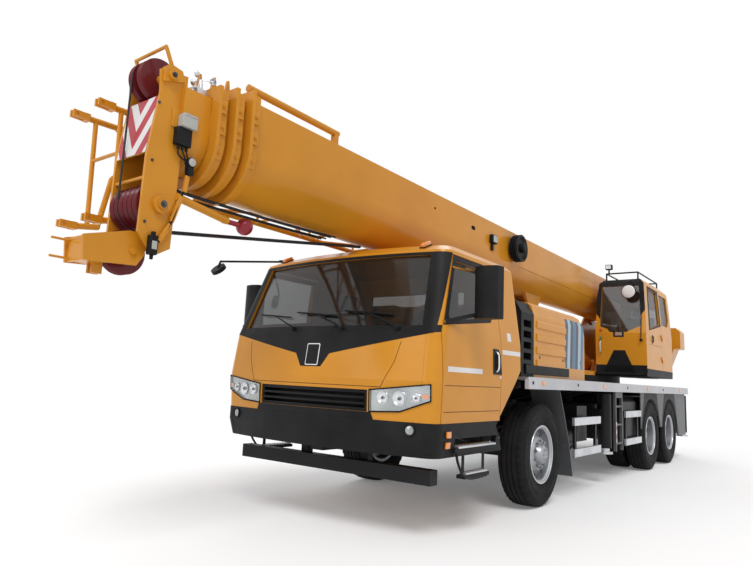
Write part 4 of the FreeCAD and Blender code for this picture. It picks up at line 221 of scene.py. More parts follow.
def rope_material():
    """Greased wire rope with slanting strands."""
    made, tree, shader = blank("wire_rope", Metallic=0.5, Roughness=0.55)
    place = tree.nodes.new("ShaderNodeTexCoord")
    strands = tree.nodes.new("ShaderNodeTexWave")
    strands.bands_direction = "DIAGONAL"
    strands.inputs["Scale"].default_value = 90.0
    strands.inputs["Distortion"].default_value = 1.0
    tree.links.new(place.outputs["Object"], strands.inputs["Vector"])
    tint(tree, shader, strands.outputs["Fac"], (0.010, 0.010, 0.011), (0.045, 0.045, 0.048))
    bump(tree, shader, strands.outputs["Fac"], 0.8, 0.002)
    return made


FABRIC = fabric_material()
ROPE = rope_material()
RUBBER = rubber_material()
DECK = tread_plate_material()

FINISHES = {
    "yellow_paint": YELLOW, "black_paint": BLACK, "grey_paint": GREY, "deck_grey": DECK, "silver": SILVER,
    "rim_silver": RIM, "red_paint": RED, "black_trim": TRIM, "interior": INSIDE, "lamp": LENS,
    "cast_iron": IRON, "chrome": CHROME, "tyre": RUBBER, "glass": GLASS,
}


def finish_solids():
    """Every solid gets the finish of its slot."""
    for part in frame["record"]["subparts"]:
        thing = NODES[part["node"]]
        thing.data.materials.clear()
        thing.data.materials.append(FINISHES[part["material_slot"]])


finish_solids()


# Building blocks

def put_box(form, low, high):
    """A box between two corners."""
    made = bmesh.ops.create_cube(form, size=1.0)["verts"]
    for corner in made:
        corner.co = Vector([low[k] + (corner.co[k] + 0.5) * (high[k] - low[k]) for k in range(3)])
    return made


def put_rod(form, start, end, radius, sides=20, end_radius=None):
    """A round bar, or a cone where the end has a radius of its own."""
    start, end = Vector(start), Vector(end)
    run = end - start
    turn = run.to_track_quat("Z", "Y").to_matrix().to_4x4()
    place = Matrix.Translation((start + end) / 2) @ turn
    last = radius if end_radius is None else end_radius
    return bmesh.ops.create_cone(form, cap_ends=True, segments=sides, radius1=radius, radius2=last,
                                 depth=run.length, matrix=place)["verts"]


def put_ball(form, centre, radius, sides=20):
    return bmesh.ops.create_uvsphere(form, u_segments=sides, v_segments=sides // 2, radius=radius,
                                     matrix=Matrix.Translation(centre))["verts"]


def put_prism(form, outline, offset):
    """A flat outline, drawn out along an offset."""
    low = [form.verts.new(point) for point in outline]
    high = [form.verts.new(Vector(point) + Vector(offset)) for point in outline]
    form.faces.new(low[::-1])
    form.faces.new(high)
    for k in range(len(low)):
        n = (k + 1) % len(low)
        form.faces.new((low[k], low[n], high[n], high[k]))
    return low + high


def put_ring(form, profile, centre, axis, sides=48):
    """A closed profile of (radius, along) turned round an axis."""
    turn = Vector(axis).to_track_quat("Z", "Y").to_matrix()
    rings = []
    for k in range(sides):
        angle = 2 * math.pi * k / sides
        rings.append([form.verts.new(Vector(centre) + turn @ Vector((r * math.cos(angle), r * math.sin(angle), t)))
                      for r, t in profile])
    for k in range(sides):
        here, then = rings[k], rings[(k + 1) % sides]
        for j in range(len(profile)):
            n = (j + 1) % len(profile)
            form.faces.new((here[j], here[n], then[n], then[j]))
    return [corner for ring in rings for corner in ring]


def put_tube(form, points, radius, sides=10):
    """A round tube along points, mitred at its bends and closed at its ends."""
    points = [Vector(p) for p in points]
    rings = []
    side = None
    for k, point in enumerate(points):
        before = (point - points[k - 1]).normalized() if k else None
        after = (points[k + 1] - point).normalized() if k + 1 < len(points) else None
        along = ((before or after) + (after or before)).normalized()
        if side is None:
            side = along.orthogonal().normalized()
        side = (side - along * side.dot(along)).normalized()
        other = along.cross(side)
        spread = radius / max(0.4, along.dot(after or before))
        rings.append([form.verts.new(point + (side * math.cos(a) + other * math.sin(a)) * (radius if k in (0, len(points) - 1) else spread))
                      for a in [2 * math.pi * j / sides for j in range(sides)]])
    for here, then in zip(rings, rings[1:]):
        for j in range(sides):
            n = (j + 1) % sides
            form.faces.new((here[j], here[n], then[n], then[j]))
    form.faces.new(rings[0][::-1])
    form.faces.new(rings[-1])
    return [corner for ring in rings for corner in ring]


def round_path(points, steps=6):
    """A smooth path that passes through every point."""
    points = [Vector(p) for p in points]
    ends = [2 * points[0] - points[1]] + points + [2 * points[-1] - points[-2]]
    path = []
    for a, b, c, d in zip(ends, ends[1:], ends[2:], ends[3:]):
        for k in range(steps):
            t = k / steps
            path.append(0.5 * (2 * b + (c - a) * t + (2 * a - 5 * b + 4 * c - d) * t * t
                               + (3 * b - a - 3 * c + d) * t * t * t))
    path.append(points[-1])
    return path


def keep(form, name, body, slot, *finishes, bevel=0.002):
    """Makes the piece, with rounded edges, and lets it ride on a body."""
    bmesh.ops.recalc_face_normals(form, faces=form.faces)
    mesh = bpy.data.meshes.new(name)
    form.to_mesh(mesh)
    form.free()
    for finish in finishes:
        mesh.materials.append(finish)
    mesh.polygons.foreach_set("use_smooth", [True] * len(mesh.polygons))
    mesh.set_sharp_from_angle(angle=math.radians(35))
    thing = bpy.data.objects.new(name, mesh)
    bpy.context.scene.collection.objects.link(thing)
    if bevel:
        edges = thing.modifiers.new("edges", "BEVEL")
        edges.width = bevel
        edges.segments = 2
        edges.limit_method = "ANGLE"
        edges.angle_limit = math.radians(40)
    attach(thing, body)
    return thing


TREES = {}


def touch(node, start, way):
    """Where a line meets a solid, and the surface's outward direction there."""
    if node not in TREES:
        mesh = NODES[node].data
        TREES[node] = BVHTree.FromPolygons([v.co.copy() for v in mesh.vertices],
                                           [tuple(p.vertices) for p in mesh.polygons])
    spot, normal, _, _ = TREES[node].ray_cast(Vector(start), Vector(way).normalized())
    if spot is None:
        raise ValueError("nothing of %s lies at %s" % (node, tuple(start)))
    if normal.dot(Vector(way)) > 0:
        normal = -normal
    return spot, normal


def seat(node, start, way, upright=UP):
    """A place on a solid: local X to the side, local Y upright and local Z out of the surface."""
    spot, out = touch(node, start, way)
    side = Vector(upright).cross(out).normalized()
    top = out.cross(side).normalized()
    return Matrix.Translation(spot) @ Matrix((side, top, out)).transposed().to_4x4()


def moved(form, corners, place):
    bmesh.ops.transform(form, matrix=place, verts=corners)
    return corners


def plate_outline(half_wide, half_high, corner, steps=4):
    """A rounded rectangle round the origin."""
    points = []
    for quarter, (sx, sy) in enumerate(((1, 1), (-1, 1), (-1, -1), (1, -1))):
        for k in range(steps + 1):
            angle = math.pi / 2 * (quarter + k / steps)
            points.append((sx * (half_wide - corner) + corner * math.cos(angle),
                           sy * (half_high - corner) + corner * math.sin(angle), 0.0))
    return points


def put_plate(form, place, half_wide, half_high, thick, corner=0.01, lift=0.0):
    """A rounded plate whose back lies on a seat."""
    outline = [(x, y, lift - 0.001) for x, y, _ in plate_outline(half_wide, half_high, corner)]
    return moved(form, put_prism(form, outline, (0, 0, thick + 0.001)), place)


def skin(name, node, body, slot, finish, facing, limits, thick=0.002, least=0.25, deep=0.0005, heart=None):
    """A thin cover over the part of a solid that faces a way, cut off by planes of (point, outward direction)."""
    form = bmesh.new()
    form.from_mesh(NODES[node].data)
    bmesh.ops.remove_doubles(form, verts=form.verts, dist=0.00002)
    for point, outward in limits:
        everything = form.verts[:] + form.edges[:] + form.faces[:]
        bmesh.ops.bisect_plane(form, geom=everything, plane_co=point, plane_no=outward, clear_outer=True)
    hidden = []
    for face in form.faces:
        way = Vector(facing) if heart is None else (face.calc_center_median() - Vector(heart)).normalized()
        if face.normal.dot(way) < least:
            hidden.append(face)
    bmesh.ops.delete(form, geom=hidden, context="FACES")
    bmesh.ops.dissolve_degenerate(form, edges=form.edges[:], dist=0.00005)
    form.normal_update()
    if not form.faces:
        raise ValueError("%s covers nothing" % name)
    outer = {}
    for corner in form.verts:
        outer[corner] = corner.co + corner.normal * thick
        corner.co = corner.co - corner.normal * deep
    base = form.faces[:]
    rims = [edge for edge in form.edges if len(edge.link_faces) == 1]
    rims = [(edge.verts[0], edge.verts[1]) for edge in rims]
    raised = {corner: form.verts.new(spot) for corner, spot in outer.items()}
    for face in base:
        form.faces.new([raised[corner] for corner in face.verts])
    for a, b in rims:
        form.faces.new((a, b, raised[b], raised[a]))
    return keep(form, name, body, slot, finish, bevel=0.0)


def recolour(node, finish, test):
    """Gives a finish to the faces of a solid whose middle and direction pass a test."""
    mesh = NODES[node].data
    mesh.materials.append(finish)
    for face in mesh.polygons:
        if test(face.center, face.normal):
            face.material_index = len(mesh.materials) - 1


def band(low, high, axis):
    """The two planes that keep what lies between two values along an axis."""
    way = Vector((axis == "x", axis == "y", axis == "z"))
    return [(way * low, -way), (way * high, way)]


def edge_plane(a, b, inside, along):
    """A plane through the line a to b and along a direction, whose outer side faces away from a point."""
    a, b, inside = Vector(a), Vector(b), Vector(inside)
    outward = (b - a).cross(Vector(along)).normalized()
    if (inside - a).dot(outward) > 0:
        outward = -outward
    return (a, outward)


# Carrier cab

CAB_HEART = (3.0, 0.0, 1.6)


def cab_panels():
    """Black parts of the cab's front: the panel under the windscreen, its pillars and the bumper's middle."""
    front = (1, 0, 0)
    top = ((0, 0, 1.705), (0, 0, 1))
    middle = (4.0, 0.0, 1.60)
    tip = [top] + band(-0.2, 0.2, "y") + [
        ((0, 0, 1.34), (0, 0, -1)),
        edge_plane((4, 0.12, 1.34), (4, 0.2, 1.455), middle, front),
        edge_plane((4, -0.12, 1.34), (4, -0.2, 1.455), middle, front),
        ((3.6, 0, 0), (-1, 0, 0)),
    ]
    skin("black_panel_middle", "cab_shell", "carrier", "black_trim", TRIM, front, tip)
    for side, word in ((1, "left"), (-1, "right")):
        wing = [top, ((0, side * 0.2, 0), (0, -side, 0)), ((3.78, 0, 0), (-1, 0, 0)),
                edge_plane((4, side * 0.2, 1.455), (4, side * 1.25, 1.655), (4, side * 0.8, 1.9), front)]
        skin("black_panel_" + word, "cab_shell", "carrier", "black_trim", TRIM, front, wing, least=0.08,
             heart=CAB_HEART)
        pillar = [((0, 0, 1.705), (0, 0, -1)), ((0, 0, 2.362), (0, 0, 1)), ((0, 0, 0), (0, -side, 0)),
                  edge_plane((3.84, 0, 1.70), (3.545, 0, 2.35), (4.2, 0, 2.0), (0, 1, 0))]
        skin("black_pillar_" + word, "cab_shell", "carrier", "black_trim", TRIM, front, pillar, least=0.1,
             heart=CAB_HEART)
    low = [((0, 0, 0.984), (0, 0, 1)), ((3.6, 0, 0), (-1, 0, 0)),
           edge_plane((4, 0.70, 0.90), (4, 0.665, 0.985), (4, 0, 0.95), front),
           edge_plane((4, -0.70, 0.90), (4, -0.665, 0.985), (4, 0, 0.95), front)]
    skin("bumper_middle", "cab_shell", "carrier", "black_trim", TRIM, front, low)


def on_front(y, z, lift=0.0):
    """A point on the cab's front, or on its windscreen, at a height above it."""
    best = None
    for node in ("cab_shell", "cab_glass", "grille", "front_skirt", "headlamps"):
        try:
            spot, out = touch(node, (5.0, y, z), (-1, 0, 0))
        except ValueError:
            continue
        if best is None or spot.x > best[0].x:
            best = (spot, out)
    return best[0] + best[1] * lift


def cab_badge():
    """Bare badge in a bright frame, on the black panel's tip."""
    place = seat("cab_shell", (5.0, 0.015, 1.445), (-1, 0, 0))
    form = bmesh.new()
    put_plate(form, place, 0.076, 0.098, 0.008, 0.014, lift=0.002)
    keep(form, "badge_frame", "carrier", "chrome", CHROME, bevel=0.0015)
    form = bmesh.new()
    put_plate(form, place, 0.067, 0.089, 0.0095, 0.010, lift=0.002)
    keep(form, "badge_face", "carrier", "black_trim", TRIM, bevel=0.001)


def groove(name, node, body, points, way, radius=0.0022, steps=14):
    """A dark joint between two panels, drawn on a solid between points in front of it."""
    path = []
    for a, b in zip(points, points[1:]):
        for k in range(steps + 1):
            start = Vector(a).lerp(Vector(b), k / steps)
            path.append(touch(node, start, way)[0])
    form = bmesh.new()
    put_tube(form, [p for k, p in enumerate(path) if not k or (p - path[k - 1]).length > 0.001], radius, 6)
    return keep(form, name, body, "black_trim", JOINT_AND_RECESS_SHADE, bevel=0.0)


def cab_joints():
    back = (-1, 0, 0)
    for side, word in ((1, "left"), (-1, "right")):
        groove("hood_joint_" + word, "cab_shell", "carrier",
               [(5, side * 0.90, 1.565), (5, side * 0.86, 1.40), (5, side * 0.745, 1.172)], back)
        groove("flap_joint_" + word, "cab_shell", "carrier",
               [(5, side * 0.75, 1.19), (5, side * 0.3, 1.19), (5, 0.0, 1.19)], back)
        across = (0, -side, 0)
        groove("sill_joint_" + word, "door_" + word, word + "_door",
               [(3.80, side * 2, 1.225), (3.3, side * 2, 1.225), (2.80, side * 2, 1.225)], across)
        groove("foot_joint_" + word, "door_" + word, word + "_door",
               [(3.80, side * 2, 1.015), (3.3, side * 2, 1.015), (2.80, side * 2, 1.015)], across)


def wipers():
    """Three wipers, each with a pivot, an arm and a jointed blade on the windscreen."""
    for number, (pivot, start, end) in enumerate((
            ((-0.274, 1.672), (-0.879, 1.835), (-0.393, 1.79)),
            ((0.312, 1.672), (-0.313, 1.835), (0.19, 1.79)),
            ((0.86, 1.672), (0.27, 1.835), (0.76, 1.79)))):
        form = bmesh.new()
        foot = on_front(*pivot)
        out = touch("cab_shell", (5, *pivot), (-1, 0, 0))[1]
        put_rod(form, foot - out * 0.002, foot + out * 0.035, 0.021, 16, 0.017)
        put_ball(form, foot + out * 0.035, 0.017, 12)
        middle = ((start[0] + end[0]) / 2, (start[1] + end[1]) / 2)
        bend = ((pivot[0] * 0.6 + middle[0] * 0.4), (pivot[1] * 0.6 + middle[1] * 0.4))
        arm = round_path([foot + out * 0.034, on_front(*bend, 0.036), on_front(*middle, 0.026)], 6)
        put_tube(form, arm, 0.0065, 8)
        blade = [on_front(start[0] + (end[0] - start[0]) * t, start[1] + (end[1] - start[1]) * t, 0.016)
                 for t in [k / 8 for k in range(9)]]
        put_tube(form, blade, 0.007, 8)
        edge = [point - Vector((0.009, 0, 0)) for point in blade]
        put_tube(form, edge, 0.0035, 6)
        for near, far in ((0, 3), (5, 8)):
            put_tube(form, [blade[near] + Vector((0.012, 0, 0)), blade[(near + far) // 2] + Vector((0.018, 0, 0)),
                            blade[far] + Vector((0.012, 0, 0))], 0.004, 6)
        keep(form, "wiper_%d" % (number + 1), "carrier", "black_trim", TRIM, bevel=0.0)


def headlamps():
    """Bright housings and three reflector bowls behind each clear lens."""
    for side, word in ((1, "left"), (-1, "right")):
        skin("lamp_housing_" + word, "headlamps", "carrier", "chrome", LAMP_BACK, (1, 0, 0),
             [((0, 0, 0), (0, -side, 0)), ((3.80, 0, 0), (-1, 0, 0))], thick=-0.016, deep=0.03, least=0.2)
        form = bmesh.new()
        inner = bmesh.new()
        for y, z, radius in ((0.775, 1.105, 0.050), (0.925, 1.105, 0.058), (1.065, 1.115, 0.040)):
            place = seat("headlamps", (5.0, side * y, z), (-1, 0, 0))
            profile = [(radius, -0.004), (radius * 0.93, -0.004), (radius * 0.75, -0.013), (0.001, -0.014),
                       (0.001, -0.017), (radius * 0.9, -0.0165)]
            moved(form, put_ring(form, profile, (0, 0, 0), (0, 0, 1), 40), place)
            moved(inner, put_ball(inner, (0, 0, -0.010), radius * 0.30, 16), place)
            ribs = [((radius * f) * math.cos(a), (radius * f) * math.sin(a), -0.006) for f in (0.93,)
                    for a in (0.5, 2.6)]
            for spot in ribs:
                moved(form, put_rod(form, spot, (0, 0, -0.012), 0.0025, 8), place)
        keep(form, "lamp_bowls_" + word, "carrier", "chrome", CHROME, bevel=0.0)
        keep(inner, "lamp_bulbs_" + word, "carrier", "lamp", DARK_LENS, bevel=0.0)
        form = bmesh.new()
        place = seat("headlamps", (5.0, side * 1.15, 1.13), (-1, 0, 0))
        put_plate(form, place, 0.026, 0.018, 0.0015, 0.008, lift=-0.006)
        keep(form, "turn_lamp_" + word, "carrier", "lamp", AMBER, bevel=0.0)
        corners = [(0.652, 0.987), (0.930, 1.002), (1.188, 1.097), (1.188, 1.226), (0.652, 1.163), (0.652, 0.987)]
        edge = []
        for (y0, z0), (y1, z1) in zip(corners, corners[1:]):
            edge += [on_front(side * (y0 + (y1 - y0) * k / 8), z0 + (z1 - z0) * k / 8) for k in range(8)]
        form = bmesh.new()
        put_tube(form, edge + edge[:1], 0.0055, 8)
        keep(form, "lamp_seal_" + word, "carrier", "black_trim", JOINT_AND_RECESS_SHADE, bevel=0.0)


def small_lamps():
    """Fog lamps in the bumper, amber lamps on the skirt and on the roof."""
    for side, word in ((1, "left"), (-1, "right")):
        place = seat("front_skirt", (5.0, side * 1.02, 0.865), (-1, 0, 0))
        form = bmesh.new()
        moved(form, put_ring(form, [(0.048, -0.004), (0.048, 0.012), (0.043, 0.017), (0.038, 0.012), (0.038, -0.004)],
                             (0, 0, 0), (0, 0, 1), 40), place)
        keep(form, "fog_rim_" + word, "carrier", "black_trim", TRIM, bevel=0.0)
        form = bmesh.new()
        moved(form, put_ring(form, [(0.0385, -0.003), (0.0385, 0.009), (0.028, 0.015), (0.012, 0.018), (0.0005, 0.0185),
                                    (0.0005, -0.003)], (0, 0, 0), (0, 0, 1), 40), place)
        keep(form, "fog_lens_" + word, "carrier", "lamp", LAMP_BACK, bevel=0.0)
        for z, label in ((0.838, "upper"), (0.757, "lower")):
            place = seat("front_skirt", (3.727, side * 2.0, z), (0, -side, 0))
            form = bmesh.new()
            put_plate(form, place, 0.036, 0.030, 0.006, 0.006)
            keep(form, "side_lamp_foot_%s_%s" % (label, word), "carrier", "black_trim", TRIM, bevel=0.001)
            form = bmesh.new()
            put_plate(form, place, 0.031, 0.025, 0.016, 0.006, lift=0.004)
            keep(form, "side_lamp_%s_%s" % (label, word), "carrier", "lamp", AMBER, bevel=0.003)
        for x, y, label in ((3.55, 0.86, "front"),):
            place = seat("cab_shell", (x, side * y, 4.0), (0, 0, -1), (1, 0, 0))
            form = bmesh.new()
            put_plate(form, place, 0.03, 0.07, 0.008, 0.012)
            keep(form, "roof_lamp_foot_" + word, "carrier", "black_trim", TRIM, bevel=0.001)
            form = bmesh.new()
            put_plate(form, place, 0.024, 0.062, 0.034, 0.014, lift=0.006)
            keep(form, "roof_lamp_" + word, "carrier", "lamp", AMBER, bevel=0.008)


def door_dress(side, word):
    """Window frame, handle with painted shade in its recess, stripe and mirror finish of one door."""
    node, body = "door_" + word, word + "_door"
    face = (0, side, 0)
    mid = (3.3, side * 1.2, 2.0)
    frame_limits = [
        ((0, 0, 2.343), (0, 0, 1)), ((2.806, 0, 0), (-1, 0, 0)), ((0, side * 1.252, 0), (0, side, 0)),
        edge_plane((3.84, 0, 1.705), (2.80, 0, 1.825), mid, (0, 1, 0)),
        edge_plane((2.97, 0, 1.80), (2.80, 0, 1.99), mid, (0, 1, 0)),
    ]
    skin("window_frame_" + word, node, body, "black_trim", TRIM, face, frame_limits, least=0.4)
    skin("door_stripe_" + word, node, body, "silver", WHITE, face,
         band(3.16, 3.755, "x") + band(1.335, 1.378, "z"), thick=0.0012)
    place = seat(node, (2.895, side * 2, 1.455), (0, -side, 0))
    form = bmesh.new()
    lean = 0.03 * side
    outline = [(-0.085 * side, -0.115), (0.085 * side, -0.115), (0.085 * side, 0.115), (-0.015 * side, 0.115),
               (-0.06 * side, 0.06)]
    outline = [(-x + lean, y, -0.001) for x, y in outline]
    moved(form, put_prism(form, outline, (0, 0, 0.010)), place)
    keep(form, "handle_dish_" + word, body, "black_trim", TRIM, bevel=0.006)
    # Painted shade: a near-black plate in the handle's recess.
    form = bmesh.new()
    moved(form, put_plate(form, Matrix(), 0.030, 0.075, 0.004, 0.02, lift=0.007), place)
    keep(form, "handle_well_shade_" + word, body, "black_trim", JOINT_AND_RECESS_SHADE, bevel=0.001)
    form = bmesh.new()
    grip = round_path([(0.0, 0.085, 0.006), (0.0, 0.065, 0.026), (0.0, 0.0, 0.030), (0.0, -0.065, 0.026),
                       (0.0, -0.088, 0.006)], 5)
    moved(form, put_tube(form, grip, 0.010, 12), place)
    keep(form, "handle_grip_" + word, body, "chrome", CHROME, bevel=0.0)
    form = bmesh.new()
    moved(form, put_ring(form, [(0.013, -0.001), (0.013, 0.004), (0.004, 0.005), (0.004, -0.001)], (0.09 * side, -0.14, 0),
                         (0, 0, 1), 24), place)
    keep(form, "handle_lock_" + word, body, "chrome", CHROME, bevel=0.0)
    recolour(node, TRIM, lambda spot, way: abs(spot.y) > 1.247 and spot.z > 1.6)
    recolour(node, MIRROR, lambda spot, way: abs(spot.y) > 1.31 and way.x < -0.9)


def door_surround():
    """Stripes and bare plate on the cab's rear corner."""
    for side, word in ((1, "left"), (-1, "right")):
        face = (0, side, 0)
        skin("corner_stripe_" + word, "cab_shell", "carrier", "silver", WHITE, face,
             band(2.36, 2.755, "x") + band(1.53, 1.572, "z"), thick=0.0012)
        place = seat("cab_shell", (2.60, side * 2, 1.70), (0, -side, 0))
        form = bmesh.new()
        put_plate(form, place, 0.040, 0.040, 0.002, 0.004)
        keep(form, "corner_plate_" + word, "carrier", "silver", WHITE, bevel=0.0004)


def carrier_trim():
    """Silver deck rails; black as painted shade on the frames behind the side guards, on the tanks and over the wheel
    arches; and a striped reflector on each ladder.
    """
    recolour("deck", RAIL, lambda spot, way: abs(spot.y) > 1.23)
    # Painted shade: the side guards' frames behind the rails are black, like the shade under the deck.
    recolour("side_guards", TRIM, lambda spot, way: abs(spot.y) < 1.2195 or abs(abs(spot.y) - 1.225) < 0.0005)
    recolour("side_guards", GREY, lambda spot, way: -1.125 < spot.x < -0.782 and spot.y > 0
             or -0.778 < spot.x < -0.435 and spot.y < 0)
    # Painted shade: the tanks under the deck are black all over.
    recolour("tanks", BLACK, lambda spot, way: True)
    for side, word in ((1, "left"), (-1, "right")):
        # Painted shade: black skins over the mudguard plates round the middle and rear wheels, for the shade of the
        # wheel arches.
        for x, label in ((WHEELS[2][3], "middle"), (WHEELS[4][3], "rear")):
            skin("arch_%s_%s" % (label, word), "mudguards", "carrier", "black_trim", TRIM, (0, side, 0), [
                edge_plane((x + 0.66, 0, 0.60), (x + 0.40, 0, 1.22), (x, 0, 0.9), (0, 1, 0)),
                edge_plane((x - 0.66, 0, 0.60), (x - 0.40, 0, 1.22), (x, 0, 0.9), (0, 1, 0)),
                ((0, side * 1.0, 0), (0, -side, 0))], thick=0.0012, least=0.7)
    for side, word, x in ((1, "left", -0.802), (-1, "right", -0.458)):
        y = 1.2488 * side
        form = bmesh.new()
        put_box(form, (x - 0.015, min(y, y + 0.005 * side), 0.54), (x + 0.015, max(y, y + 0.005 * side), 0.81))
        keep(form, "ladder_reflector_" + word, "carrier", "silver", WHITE, bevel=0.0006)
        form = bmesh.new()
        for k in range(2):
            z = 0.57 + 0.12 * k
            outline = [(x + 0.0148, y, z), (x + 0.0148, y, z + 0.055), (x - 0.0148, y, z + 0.10), (x - 0.0148, y, z + 0.045)]
            put_prism(form, outline, (0, side * 0.0062, 0))
        keep(form, "ladder_bars_" + word, "carrier", "red_paint", CHEVRON, bevel=0.0)


def step_treads():
    """Ribbed bright treads on the steps, and their hanging loops."""
    for side, word in ((1, "left"), (-1, "right")):
        form = bmesh.new()
        inner, outer = (1.150, 1.252) if side > 0 else (-1.252, -1.150)
        put_box(form, (2.90, inner, 0.7225), (3.57, outer, 0.738))
        for k in range(16):
            x = 2.925 + k * 0.0412
            put_box(form, (x, inner + 0.01, 0.737), (x + 0.014, outer - 0.01, 0.743))
        put_box(form, (3.03, inner + 0.015, 0.5005), (3.41, outer - 0.015, 0.515))
        for k in range(9):
            x = 3.05 + k * 0.0412
            put_box(form, (x, inner + 0.025, 0.514), (x + 0.014, outer - 0.025, 0.520))
        keep(form, "step_treads_" + word, "carrier", "silver", SILVER, bevel=0.002)
        form = bmesh.new()
        y = 1.236 * side
        put_tube(form, round_path([(3.58, y, 0.70), (3.56, y, 0.62), (3.47, y, 0.51), (3.36, y, 0.470), (3.2, y, 0.463),
                                   (3.05, y, 0.470)], 6), 0.011, 10)
        keep(form, "step_loop_" + word, "carrier", "black_paint", BLACK, bevel=0.0)


def padded_box(name, body, low, high, rows, fabric, place=Matrix(), crown=0.018):
    """A crowned cushion between two corners, with sewn channels across it."""
    form = bmesh.new()
    nx, ny, nz = 14, 14, 4
    grid = {}
    for i in range(nx + 1):
        for j in range(ny + 1):
            for k in range(nz + 1):
                if i in (0, nx) or j in (0, ny) or k in (0, nz):
                    u, v, w = i / nx, j / ny, k / nz
                    grid[i, j, k] = form.verts.new((u, v, w))
    def quad(*keys):
        form.faces.new([grid[key] for key in keys])
    for i in range(nx):
        for j in range(ny):
            quad((i, j, 0), (i, j + 1, 0), (i + 1, j + 1, 0), (i + 1, j, 0))
            quad((i, j, nz), (i + 1, j, nz), (i + 1, j + 1, nz), (i, j + 1, nz))
    for i in range(nx):
        for k in range(nz):
            quad((i, 0, k), (i + 1, 0, k), (i + 1, 0, k + 1), (i, 0, k + 1))
            quad((i, ny, k), (i, ny, k + 1), (i + 1, ny, k + 1), (i + 1, ny, k))
    for j in range(ny):
        for k in range(nz):
            quad((0, j, k), (0, j, k + 1), (0, j + 1, k + 1), (0, j + 1, k))
            quad((nx, j, k), (nx, j + 1, k), (nx, j + 1, k + 1), (nx, j, k + 1))
    size = [high[n] - low[n] for n in range(3)]
    for corner in form.verts:
        u, v, w = corner.co
        bulge = (4 * u * (1 - u)) * (4 * v * (1 - v))
        pinch = 0.5 * (1 - 4 * w * (1 - w))
        x = low[0] + size[0] * u + (0.5 - u) * 0.10 * size[0] * pinch * (1 if u in (0, 1) else 0)
        y = low[1] + size[1] * v + (0.5 - v) * 0.08 * size[1] * pinch * (1 if v in (0, 1) else 0)
        seam = min(abs(u * rows - round(u * rows)) * 4, 1) if 0.08 < u < 0.92 else 1
        z = low[2] + size[2] * w
        if w > 0.99:
            z += crown * bulge - crown * 1.3 - 0.008 * (1 - seam)
        corner.co = place @ Vector((x, y, z))
    thing = keep(form, name, body, "interior", fabric, bevel=0.0)
    smooth = thing.modifiers.new("rounding", "SUBSURF")
    smooth.levels = 1
    smooth.render_levels = 1
    return thing


SEATS = (("driver", "carrier", 3.130, 0.640, 1.298), ("passenger", "carrier", 3.130, -0.640, 1.298),
         ("operator", "superstructure", -3.595, 0.835, 1.918))


def seats():
    """Fabric cushions, backs and head rests on the three seats."""
    for name, body, x, y, z in SEATS:
        padded_box(name + "_cushion", body, (x - 0.19, y - 0.232, z + 0.105), (x + 0.262, y + 0.232, z + 0.145), 3,
                   FABRIC)
        lean = math.radians(8.8)
        out = Vector((math.cos(lean), 0, math.sin(lean)))
        rise = Vector((-math.sin(lean), 0, math.cos(lean)))
        across = rise.cross(out)
        foot = Vector((x - 0.156, y, z + 0.145))
        place = Matrix.Translation(foot) @ Matrix((rise, -across, out)).transposed().to_4x4()
        padded_box(name + "_back", body, (0, -0.232, -0.01), (0.52, 0.232, 0.03), 4, FABRIC, place=place)
        head = Vector((x - 0.262, y, z + 0.685))
        place = Matrix.Translation(head) @ Matrix((rise, -across, out)).transposed().to_4x4()
        padded_box(name + "_head_rest", body, (0, -0.125, -0.01), (0.165, 0.125, 0.022), 1, FABRIC, place=place)


# Wheels

TYRE_SIDE = [
    (0.2865, 0.106), (0.296, 0.117), (0.312, 0.124), (0.330, 0.133), (0.336, 0.133), (0.340, 0.138), (0.352, 0.141),
    (0.390, 0.1475), (0.394, 0.1495), (0.402, 0.1497), (0.406, 0.1485), (0.430, 0.1495), (0.462, 0.1475),
    (0.466, 0.1490), (0.476, 0.1475), (0.480, 0.1440), (0.500, 0.1375), (0.517, 0.1290), (0.529, 0.1215),
    (0.5355, 0.1130),
]
TREAD = [
    (0.5380, 0.088), (0.5265, 0.085), (0.5265, 0.076), (0.5388, 0.073), (0.5398, 0.033), (0.5270, 0.030),
    (0.5270, 0.021), (0.5400, 0.018),
]
WHEELS = (
    ("front_left", "tyre_front_left", "wheel_front_left", 1.635, (1.040,)),
    ("front_right", "tyre_front_right", "wheel_front_right", 1.635, (-1.040,)),
    ("mid_left", "tyres_mid_left", "wheels_mid_left", -2.790, (1.090, 0.750)),
    ("mid_right", "tyres_mid_right", "wheels_mid_right", -2.790, (-1.090, -0.750)),
    ("rear_left", "tyres_rear_left", "wheels_rear_left", -4.140, (1.090, 0.750)),
    ("rear_right", "tyres_rear_right", "wheels_rear_right", -4.140, (-1.090, -0.750)),
)
AXLE_HEIGHT = 0.540


def put_tyre(form, x, y, sides=132):
    """A truck tyre with four grooves, lugs on its shoulders and ribs on its walls."""
    half = TYRE_SIDE + TREAD
    profile = [(r, t) for r, t in half] + [(r, -t) for r, t in reversed(half)] + [(0.2865, -0.09), (0.2865, 0.09)]
    rings = []
    for k in range(sides):
        angle = 2 * math.pi * k / sides
        ring = []
        for r, t in profile:
            slot = k % 3 == 0 and 0.512 < r and abs(t) > 0.084
            reach = r - 0.011 if slot else r
            ring.append(form.verts.new((x + reach * math.cos(angle), y + t, AXLE_HEIGHT + reach * math.sin(angle))))
        rings.append(ring)
    for k in range(sides):
        here, then = rings[k], rings[(k + 1) % sides]
        for j in range(len(profile)):
            n = (j + 1) % len(profile)
            form.faces.new((here[j], here[n], then[n], then[j]))


def put_nut(form, spot, out, size=0.0165, high=0.022):
    """A hexagon nut with its washer and stud."""
    spot, out = Vector(spot), Vector(out)
    put_rod(form, spot, spot + out * 0.004, size * 1.25, 14)
    put_rod(form, spot + out * 0.003, spot + out * high, size, 6)
    put_rod(form, spot + out * high, spot + out * (high + 0.010), size * 0.55, 10)


